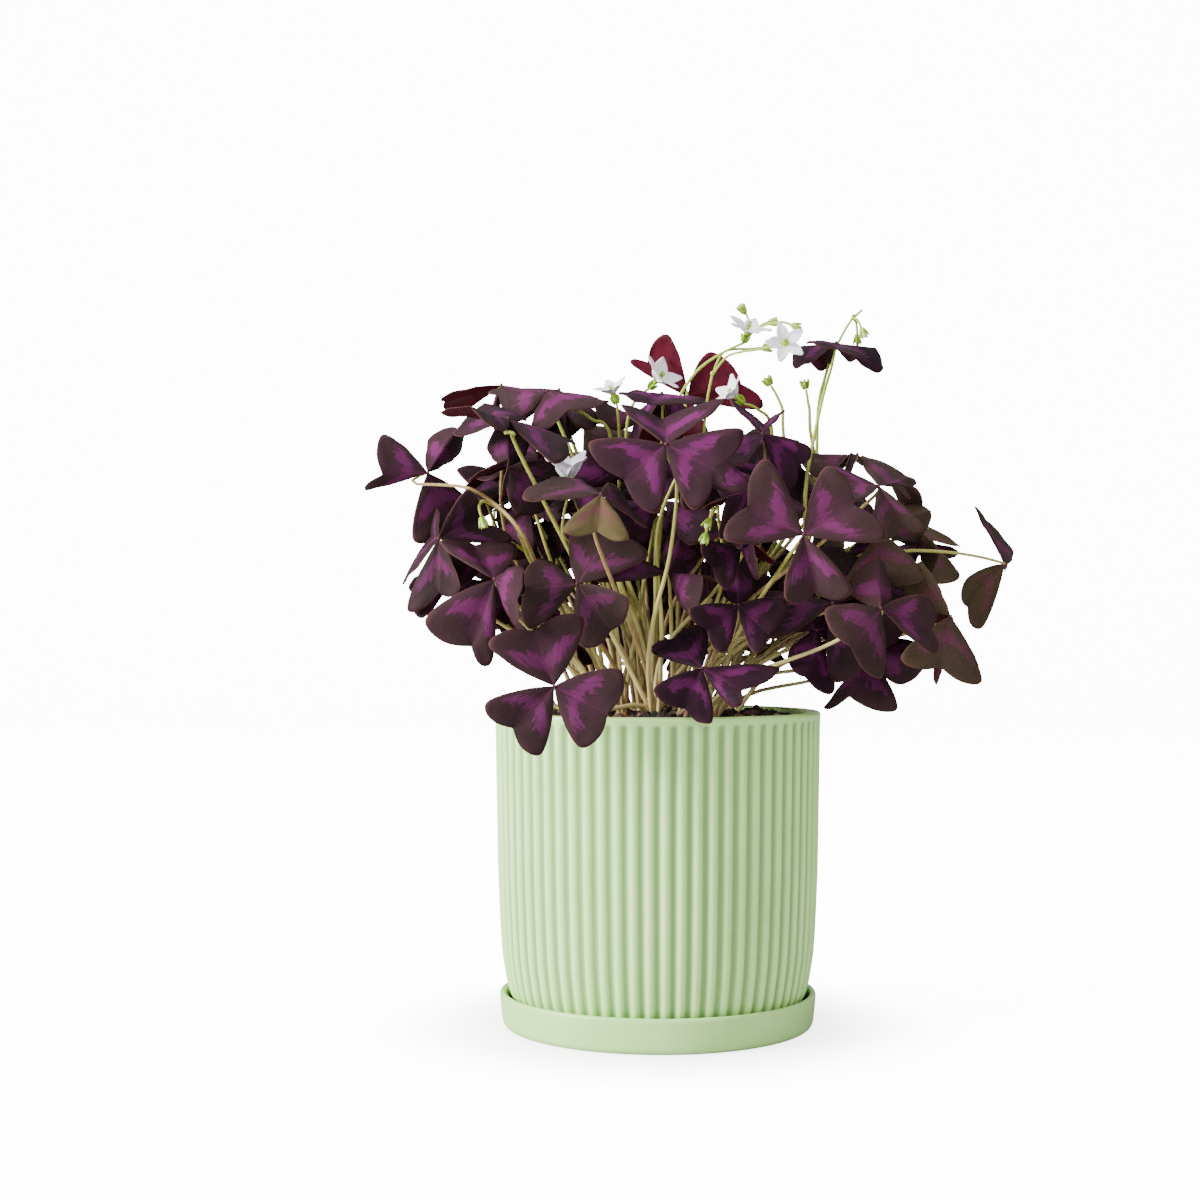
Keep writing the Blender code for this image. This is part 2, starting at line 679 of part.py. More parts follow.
def keep_largest_body(mesh):
    """Removes hollows and scraps that a union leaves: all but the body with the most faces."""
    work = bmesh.new()
    work.from_mesh(mesh)
    bmesh.ops.triangulate(work, faces=work.faces)
    unseen = set(work.verts)
    bodies = []
    while unseen:
        body = {unseen.pop()}
        edge = list(body)
        while edge:
            near = {e.other_vert(v) for v in edge for e in v.link_edges} - body
            body |= near
            edge = list(near)
        unseen -= body
        bodies.append(body)
    bodies.sort(key=len)
    for body in bodies[:-1]:
        bmesh.ops.delete(work, geom=list(body), context="VERTS")
    work.to_mesh(mesh)
    work.free()


def pot_solid():
    """Fluted pot with a plain lip, a foot ring and a drain hole."""
    rings = [
        ring(radius * MM, height * MM, sides, RIB_DEPTH if sides == FLUTED else 0.0)
        for radius, height, sides in POT_RINGS
    ]
    return stitched(rings, True)


def saucer_solid():
    """Shallow saucer with a rounded wall, flat underneath."""
    rings = [ring(radius * MM, height * MM, SAUCER_SIDES) for radius, height in SAUCER_RINGS]
    return stitched(rings, False)


def soil_solid():
    """Soil up to just under the rim, uneven on top, with a plain round recess for the bulbs."""
    draw = random.Random(SEED)
    rings = [ring(radius * MM, height * MM, PLAIN) for radius, height in SOIL_RINGS]
    for level in UNEVEN_RINGS:
        rings[level] = [
            (x, y, z + draw.uniform(-SOIL_SWELL, SOIL_SWELL)) for x, y, z in rings[level]
        ]
    return stitched(rings, False)


def bulb_places():
    """Centres of the bulbs on a triangular lattice inside the recess."""
    places = []
    reach = int(BULB_FIELD / BULB_SPACING) + 2
    for row in range(-reach, reach + 1):
        for column in range(-reach, reach + 1):
            x = (column + 0.5 * (row % 2)) * BULB_SPACING
            y = row * BULB_SPACING * math.sqrt(0.75)
            if math.hypot(x, y) <= BULB_FIELD:
                places.append((x, y))
    return places


def bulb_solid(place, draw):
    """A scaly bulb: a spindle of a few sides, broadest below its middle."""
    turn = draw.uniform(0, 1)
    top = BULB_TOP + draw.uniform(-2.0, 1.0) * MM
    rings = [
        ring(0.35 * BULB_RADIUS, RECESS_FLOOR + SEAT_GAP, BULB_SIDES, turn=turn),
        ring(BULB_RADIUS, BULB_GIRTH_HEIGHT, BULB_SIDES, turn=turn),
        ring(0.22 * BULB_RADIUS, top, BULB_SIDES, turn=turn),
    ]
    verts, faces = stitched(rings, False)
    return [(x + place[0], y + place[1], z) for x, y, z in verts], faces


def spline(knots, steps, start=None, end=None):
    """Points of a Catmull-Rom curve through the knots, steps to a span. start and end give its
    tangents at the first and last knot."""
    knots = [np.array(knot) for knot in knots]
    before = 2 * knots[0] - knots[1] if start is None else knots[1] - 2 * start
    after = 2 * knots[-1] - knots[-2] if end is None else knots[-2] + 2 * end
    frame = [before, *knots, after]
    points = [knots[0]]
    for a, b, c, d in zip(frame, frame[1:], frame[2:], frame[3:]):
        for step in range(1, steps + 1):
            t = step / steps
            points.append(0.5 * (
                2 * b + (c - a) * t + (2 * a - 5 * b + 4 * c - d) * t**2
                + (3 * b - a - 3 * c + d) * t**3
            ))
    return points


def tube_solid(path, radii, sides):
    """A tube along a path: a ring square to the path at each point, turned as little as may be
    from the one before, with flat ends."""
    steps = [unit(b - a) for a, b in zip(path, path[1:])]
    tangents = [steps[0], *[unit(a + b) for a, b in zip(steps, steps[1:])], steps[-1]]
    side = unit(np.cross(tangents[0], (0.3, 0.9, 0.1)))
    verts, faces = [], []
    for point, tangent, radius in zip(path, tangents, radii):
        side = unit(side - tangent * (side @ tangent))
        other = np.cross(tangent, side)
        for index in range(sides):
            angle = math.tau * index / sides
            verts.append(point + radius * (math.cos(angle) * side + math.sin(angle) * other))
    for level in range(len(path) - 1):
        for index in range(sides):
            a, b = level * sides + index, level * sides + (index + 1) % sides
            faces.append((a, b, b + sides, a + sides))
    faces.append(tuple(range(sides))[::-1])
    faces.append(tuple(len(verts) - sides + index for index in range(sides)))
    return verts, faces


class Obstacles:
    """Solids that stalks keep clear of, in one search tree."""

    def __init__(self, solids):
        self.solids = list(solids)
        self.build()

    def build(self):
        verts, faces, self.owners = [], [], []
        for owner, (points, polygons) in enumerate(self.solids):
            start = len(verts)
            verts += [tuple(point) for point in points]
            faces += [tuple(start + index for index in polygon) for polygon in polygons]
            self.owners += [owner] * len(polygons)
        self.tree = BVHTree.FromPolygons(verts, faces)

    def add(self, *solids):
        self.solids += solids
        self.build()

    def drop_last(self):
        self.solids.pop()
        self.build()

    def gap(self, path, radii, own=-1):
        """Least gap beside a tube, less what it may lack: a stalk may come nearer its own leaf
        within its straight end."""
        least = 1.0
        left = sum(np.linalg.norm(b - a) for a, b in zip(path, path[1:]))
        for a, b, first, last in zip(path, path[1:], radii, radii[1:]):
            length = np.linalg.norm(b - a)
            count = max(int(length / SAMPLE), 1)
            for step in range(count + 1):
                t = step / count
                place = a + (b - a) * t
                _, _, face, far = self.tree.find_nearest(Vector(place), 4.0 * MM)
                if far is None:
                    continue
                allowed = 0.0
                if self.owners[face] == own and left - t * length <= STALK_END + SAMPLE:
                    allowed = STALK_GAP - 0.08 * MM
                least = min(least, far - (first + (last - first) * t) + allowed)
            if least < 0:
                return least
            left -= length
        return least


class Stalk(NamedTuple):
    """A stalk's centre line and its radius at each point of it."""

    path: list
    radii: list


def tapered(path, foot, tip):
    """Radii along a path that taper evenly from foot to tip."""
    runs = [0.0]
    for a, b in zip(path, path[1:]):
        runs.append(runs[-1] + np.linalg.norm(b - a))
    return [foot + (tip - foot) * run / runs[-1] for run in runs]


def clearest(tries, obstacles, own=-1):
    """The first stalk that keeps its gap, or else the one that keeps the most."""
    best, most = None, -1.0
    for stalk in tries:
        gap = obstacles.gap(stalk.path, stalk.radii, own)
        if gap > most:
            best, most = stalk, gap
        if most >= STALK_GAP:
            break
    return best, most


def petiole_tries(leaf, vias, draw, tries=STALK_TRIES):
    """Ways that a leaf's stalk could run: up from a bulb, through what shows of it, then straight
    up the leaf's normal to just under its hub. Later tries stray further."""
    feet = [np.array((x, y, SPROUT_HEIGHT)) for x, y in bulb_places()]
    feet.sort(key=lambda foot: np.linalg.norm(foot[:2] - 0.28 * leaf.hub[:2]))
    for count in range(tries):
        stray = count / tries
        short = STALK_SHORT * (1.0 + 1.2 * stray)
        sway = np.array([draw.uniform(-1, 1) for _ in range(3)])
        end = leaf.hub - leaf.upper * (BLADE + short)
        neck = end - unit(leaf.upper + 0.5 * stray * sway) * STALK_END
        foot = feet[draw.randrange(2 + int(12 * stray))].copy()
        foot[:2] += [draw.uniform(-2.5, 2.5) * MM, draw.uniform(-2.5, 2.5) * MM]
        shift = draw.uniform(-1, 1) * 30 * MM * stray
        knots = [foot]
        for u, v, depth in vias:
            knots.append(sight_point(u, v, depth * MM + shift + draw.uniform(-8, 8) * MM * stray))
        knots.append(neck)
        first = np.linalg.norm(knots[1] - knots[0])
        last = np.linalg.norm(knots[-1] - knots[-2])
        lean = np.array((draw.uniform(-1, 1), draw.uniform(-1, 1), 0.0)) * (0.1 + 0.8 * stray)
        start = first * draw.uniform(0.6, 1.4) * unit(np.array((0.0, 0.0, 1.0)) + lean)
        finish = last * draw.uniform(0.35, 1.0) * unit(neck - end) * -1.0
        steps = STALK_STEPS - 1 if len(knots) == 2 else 3
        path = spline(knots, steps, start, finish)
        yield Stalk([*path, end], [*tapered(path, STALK_FOOT, STALK_NECK), STALK_TIP])


def stem_tries(stem, stems, draw):
    """Ways that a flower stem could run through its picture places. Later tries stray further."""
    for count in range(STALK_TRIES):
        stray = count / STALK_TRIES
        shift = draw.uniform(-1, 1) * 40 * MM * stray
        knots = []
        for u, v, depth in stem.way:
            loose = stray * (7 + 0.15 * max(v - 400, 0))
            aside = [loose * draw.uniform(-1, 1) for _ in range(3)]
            place = sight_point(u + aside[0], v + aside[1], (depth + aside[2]) * MM + shift)
            knots.append(place)
        if isinstance(stem.root, int):
            joints = stems[stem.root].path
            start = None
            knots = [min(joints, key=lambda joint: np.linalg.norm(joint - knots[0])), *knots]
        else:
            root = np.array(stem.root) * MM
            bulb = min(bulb_places(), key=lambda place: np.linalg.norm(root - place))
            foot = np.array((*bulb, SPROUT_HEIGHT))
            start = np.array((0.0, 0.0, np.linalg.norm(knots[0] - foot)))
            knots = [foot, *knots]
        path = spline(knots, 2, start)
        yield Stalk(path, tapered(path, STEM_FOOT if start is not None else STEM_TIP, STEM_TIP))


def end_solid(stalk, kind, heading):
    """What a stem ends in: a spindle along a heading, its foot sunk in the stem's end."""
    length, radius = STEM_ENDS[kind]
    foot = stalk.path[-1] - heading * STEM_TIP
    path = [foot + heading * length * part for part in (0.0, 0.35, 0.75, 1.0)]
    return tube_solid(path, [radius * part for part in (0.35, 0.9, 1.0, 0.5)], 5)


def bloom_star(bloom, stalk):
    """A flower just clear of the calyx at its stem's end."""
    axis = unit(np.array(bloom.axis))
    across = unit(np.cross(axis, (0.0, 0.0, 1.0)))
    spread, size = math.radians(bloom.spread), bloom.size * MM
    corner_along, corner_across = PETAL_OUTLINE.corner
    hub = stalk.path[-1] + axis * (STEM_ENDS["calyx"][0] - STEM_TIP + BLADE + SEAT_GAP)
    lobes = []
    for petal in range(PETALS):
        out = turned(across, axis, math.radians(bloom.roll) + math.tau * petal / PETALS)
        along = math.cos(spread) * axis + math.sin(spread) * out
        width = size * corner_across * unit(np.cross(axis, out))
        middle = size * corner_along * along
        lobes.append((middle - width, size * along, middle + width))
    return placed(hub, lobes, PETAL_OUTLINE)


def flowers(obstacles, draw):
    """The flower stems with what they end in, as solids, and the blooms. Each bloom is added to
    the obstacles."""
    stalks, solids, blooms = [], [], []
    carried = {bloom.stem: bloom for bloom in BLOOMS}
    for number, stem in enumerate(STEMS):
        bloom = carried.get(number)
        for stalk in stem_tries(stem, stalks, draw):
            if obstacles.gap(stalk.path, stalk.radii) < STALK_GAP:
                continue
            heading = unit(stalk.path[-1] - stalk.path[-2])
            if bloom:
                heading = unit(np.array(bloom.axis))
            end = end_solid(stalk, stem.end, heading)
            if tree_of(*end).overlap(obstacles.tree):
                continue
            if not bloom:
                break
            star = bloom_star(bloom, stalk)
            thick = tree_of(*star.solid(CLEARANCE, BLADE + CLEARANCE))
            others = [tree_of(*solid) for solid in solids]
            if not thick.overlap(obstacles.tree) and not any(map(thick.overlap, others)):
                blooms.append(star)
                obstacles.add(star.solid())
                break
        else:
            raise RuntimeError(f"stem {number} finds no way")
        stalks.append(stalk)
        solids += [tube_solid(*stalk, STALK_SIDES), end]
    return solids, blooms


def petioles(leaves, first, obstacles, draw):
    """The stalks of leaves that stand among the obstacles from number first on, as solids."""
    solids = []
    for own, leaf in enumerate(leaves, first):
        tries = petiole_tries(leaf, SEEN_STALKS.get(own, ()), draw)
        stalk, _ = clearest(tries, obstacles, own)
        solids.append(tube_solid(*stalk, STALK_SIDES))
    return solids


def picture_place(point):
    """Where the eye sees a point, as a picture place."""
    across, away, up = point - EYE
    return AXIS_U + PICTURE_FOCAL * across / away, HORIZON_V - PICTURE_FOCAL * up / away


def inside(place, outline):
    """Whether a picture place lies inside a closed outline: a line from it crosses an odd number
    of the outline's edges."""
    u, v = place
    odd = False
    for (u1, v1), (u2, v2) in zip(outline, outline[1:] + outline[:1]):
        if (v1 > v) != (v2 > v) and u < u1 + (v - v1) * (u2 - u1) / (v2 - v1):
            odd = not odd
    return odd


def share_in_sight(leaf, tree):
    """Share of a leaf's triangles, every third one tried, that the eye sees past a tree."""
    middles = (leaf.points + leaf.hub)[leaf.triangles[::3]].mean(axis=1)
    seen = 0
    for middle in middles:
        ray = middle - EYE
        seen += tree.ray_cast(EYE, ray, np.linalg.norm(ray))[0] is None
    return seen / len(middles)


def back_sprays(trees, obstacles, draw):
    """Sprays of touching leaves inside and behind the clump, and their stalks.

    Each leaf of a spray crosses one of its mates, is clear of everything else, shows through a
    gap and has a clear way for its stalk. The longer a place is sought, the smaller the gap may
    be. The leaves join the obstacles.
    """
    sprays, solids = [], []
    for spray in range(BACK_SPRAYS):
        azimuth = math.radians(8 + 164 * (spray * 0.618 % 1.0))
        members, blades = [], []
        wanted = 0.7
        while len(members) < SPRAY_LEAVES:
            wanted *= 0.99
            hub = shell_place(draw, azimuth)
            if members:
                aside = [draw.gauss(0, 1) for _ in range(3)]
                hub = members[-1].hub + unit(np.array(aside)) * draw.uniform(0.8, 1.5) * BACK_SIDE
            leaf = spread_leaf(draw, hub)
            if not all(inside(picture_place(p + hub), CLUMP_OUTLINE) for p in leaf.points[::2]):
                continue
            if share_in_sight(leaf, obstacles.tree) < wanted:
                continue
            blade = tree_of(*leaf.solid())
            if members and not any(blade.overlap(mate) for mate in blades):
                continue
            thick = tree_of(*leaf.solid(CLEARANCE, BLADE + CLEARANCE))
            if any(thick.overlap(other) for other in trees):
                continue
            obstacles.add(leaf.solid())
            ways = petiole_tries(leaf, (), draw, SPRAY_STALK_TRIES)
            stalk, gap = clearest(ways, obstacles, len(obstacles.solids) - 1)
            if gap < STALK_GAP:
                obstacles.drop_last()
                continue
            members.append(leaf)
            blades.append(blade)
            solids.append(tube_solid(*stalk, STALK_SIDES))
            trees.append(tree_of(*solids[-1]))
            wanted = 0.7
        trees.extend(blades)
        sprays.append(members)
    return sprays, solids


def main():
    for old in list(bpy.data.objects):
        bpy.data.objects.remove(old)
    glaze = material("pot_glaze", (0.66, 0.78, 0.56), 0.35)
    saucer_glaze = material("saucer_glaze", (0.66, 0.78, 0.56), 0.35)
    earth = material("potting_soil", (0.03, 0.02, 0.015), 0.95)
    green = material("stalk_green", (0.55, 0.52, 0.22), 0.6)
    white = material("petal_white", (0.88, 0.84, 0.92), 0.5)
    purple = material("leaf_purple", (0.07, 0.03, 0.05), 0.6)

    draw = random.Random(SEED)
    pot, saucer, soil = pot_solid(), saucer_solid(), soil_solid()
    trees = map_trees([pot, soil])
    leaves = measured_leaves(LEAVES[:FRONT_LEAVES], trees)
    obstacles = Obstacles([*[leaf.solid() for leaf in leaves], pot, soil])
    stalks, blooms = flowers(obstacles, draw)
    trees += map_trees([*stalks, *[bloom.solid() for bloom in blooms]])

    groups = [petioles(leaves, 0, obstacles, draw)]
    trees += map_trees(groups[-1])
    inner = measured_leaves(LEAVES[FRONT_LEAVES:], trees)
    first = len(obstacles.solids)
    obstacles.add(*[leaf.solid() for leaf in inner])
    groups.append(petioles(inner, first, obstacles, draw))
    trees += map_trees(groups[-1])
    sprays, solids = back_sprays(trees, obstacles, draw)
    groups.append(solids)
    bulbs = [bulb_solid(place, draw) for place in bulb_places()]

    add_object("pot", *pot, glaze)
    add_object("saucer", *saucer, saucer_glaze)
    add_object("soil", *soil, earth)
    fused_object("stalks", [*bulbs, *stalks, *[solid for group in groups for solid in group]], green)
    for number, bloom in enumerate(blooms, 1):
        add_object(f"bloom_{number}", *bloom.solid(), white)
    for number, leaf in enumerate([*leaves, *inner], 1):
        add_object(f"leaf_{number:02d}", *leaf.solid(), purple)
    for number, members in enumerate(sprays, 1):
        fused_object(f"spray_{number}", [leaf.solid() for leaf in members], purple, "MANIFOLD")


main()
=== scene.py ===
"""Potted purple shamrock: a clump of Oxalis triangularis in a fluted mint-green ceramic pot.

Metres, +Z up. The saucer's underside is centred on the origin, and the front looks along -Y.
Every leaf stands where its solid stands, and every stalk and stem follows its solid's line.
"""

import json
import math
import random
from typing import NamedTuple

import bpy
import numpy as np
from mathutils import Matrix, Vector
from mathutils.bvhtree import BVHTree

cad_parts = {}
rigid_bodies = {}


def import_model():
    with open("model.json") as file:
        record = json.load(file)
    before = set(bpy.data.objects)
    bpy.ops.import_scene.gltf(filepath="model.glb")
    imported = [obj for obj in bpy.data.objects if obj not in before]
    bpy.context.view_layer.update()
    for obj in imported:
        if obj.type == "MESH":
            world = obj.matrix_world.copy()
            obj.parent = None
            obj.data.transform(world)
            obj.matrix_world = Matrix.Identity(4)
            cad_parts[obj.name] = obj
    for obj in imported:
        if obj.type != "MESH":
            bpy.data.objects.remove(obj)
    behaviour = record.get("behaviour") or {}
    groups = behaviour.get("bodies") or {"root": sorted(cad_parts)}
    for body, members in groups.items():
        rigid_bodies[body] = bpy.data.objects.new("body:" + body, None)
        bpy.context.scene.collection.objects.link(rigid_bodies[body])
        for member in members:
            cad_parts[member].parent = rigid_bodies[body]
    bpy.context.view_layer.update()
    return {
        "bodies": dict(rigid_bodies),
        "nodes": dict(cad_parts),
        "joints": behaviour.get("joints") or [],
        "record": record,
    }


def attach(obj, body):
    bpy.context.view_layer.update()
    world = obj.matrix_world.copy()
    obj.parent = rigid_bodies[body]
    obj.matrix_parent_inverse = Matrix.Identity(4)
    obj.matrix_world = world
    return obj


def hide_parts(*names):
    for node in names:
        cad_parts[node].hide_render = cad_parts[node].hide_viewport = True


for old in list(bpy.data.objects):
    bpy.data.objects.remove(old)
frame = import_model()

# Sizes of the pot, the soil and the bulbs
MM = 0.001
RIBS = 66
BULB_FIELD = 33.0 * MM
BULB_SPACING = 16.0 * MM
SEAT_GAP = 0.3 * MM

# Leaf blades
BLADE = 0.7 * MM
HUB_RADIUS = 2.0 * MM
DROOP = math.radians(14)
CLEARANCE = 0.55 * MM
SETTLE_STEP = 1.5 * MM
SETTLE_TRIES = 60

# Stalks: their sizes, the gap they keep, and how their solids are sampled for it
STALK_SIDES = 3
STALK_STEPS = 4
STALK_FOOT = 1.15 * MM
STALK_NECK = 0.75 * MM
STALK_TIP = 0.35 * MM
STALK_END = 5.0 * MM
STALK_SHORT = 0.45 * MM
STALK_GAP = 0.35 * MM
STALK_TRIES = 300
SPRAY_STALK_TRIES = 50
SAMPLE = 1.2 * MM
GAP_REACH = 4.0 * MM
OWN_LEAF_GAP = 0.08 * MM
STEM_FOOT = 1.0 * MM
STEM_TIP = 0.6 * MM
SPROUT_HEIGHT = 139.0 * MM

# A stalk's foot lies at this part of its leaf's place across the pot
FOOT_PULL = 0.28
# How far the tries of a stalk or stem stray, in millimetres: foot, picture place and whole way
FOOT_STRAY = 2.5
PLACE_STRAY = 8
STALK_STRAY = 30
STEM_STRAY = 40

# Flowers, and what else a stem may end in
PETALS = 5
STEM_ENDS = {
    "calyx": (4.5 * MM, 1.9 * MM),
    "bud": (5.5 * MM, 1.5 * MM),
    "pod": (5.0 * MM, 2.0 * MM),
    "knot": (2.6 * MM, 1.2 * MM),
    "tip": (1.6 * MM, 0.8 * MM),
}

# The front view: the eye's distance and height, and how its picture is scaled
EYE = np.array((0.0, -912.0, 182.7)) * MM
AXIS_U = 657.5
HORIZON_V = 627.0
PICTURE_FOCAL = 1970.0

SEED = 20


class Outline(NamedTuple):
    """One half of a lobe, flat, in side lengths: the margin from the hub to the tip as
    (along, across) the midrib, the midrib point that faces each, the margin point that a corner
    reading gives, and the length of the midrib."""

    margin: tuple
    midrib: tuple
    corner: tuple
    tip: float


CORNER = (0.765, 0.635)
LEAFLET = Outline(((0.38, 0.44), CORNER, (0.915, 0.32)), (0.36, 0.66, 0.78), CORNER, 0.84)
PETAL_OUTLINE = Outline(((0.40, 0.10), (0.82, 0.22)), (0.40, 0.78), (0.82, 0.22), 1.0)
CORNER_ANGLE = math.atan2(CORNER[1], CORNER[0])


class Leaf(NamedTuple):
    """A trefoil as it shows in the front view.

    hub is its place in the picture and depth its distance behind the pot's axis. Each leaflet
    gives its two outer corners, counterclockwise seen from the upper face, and between them the
    notch where it shows, as picture places and a lean: -1 to the front, 1 to the back, 0 level.
    hang is how far its other leaflets droop.
    """

    hub: tuple
    depth: float
    side: float
    leaflets: tuple
    hang: float = 0.35


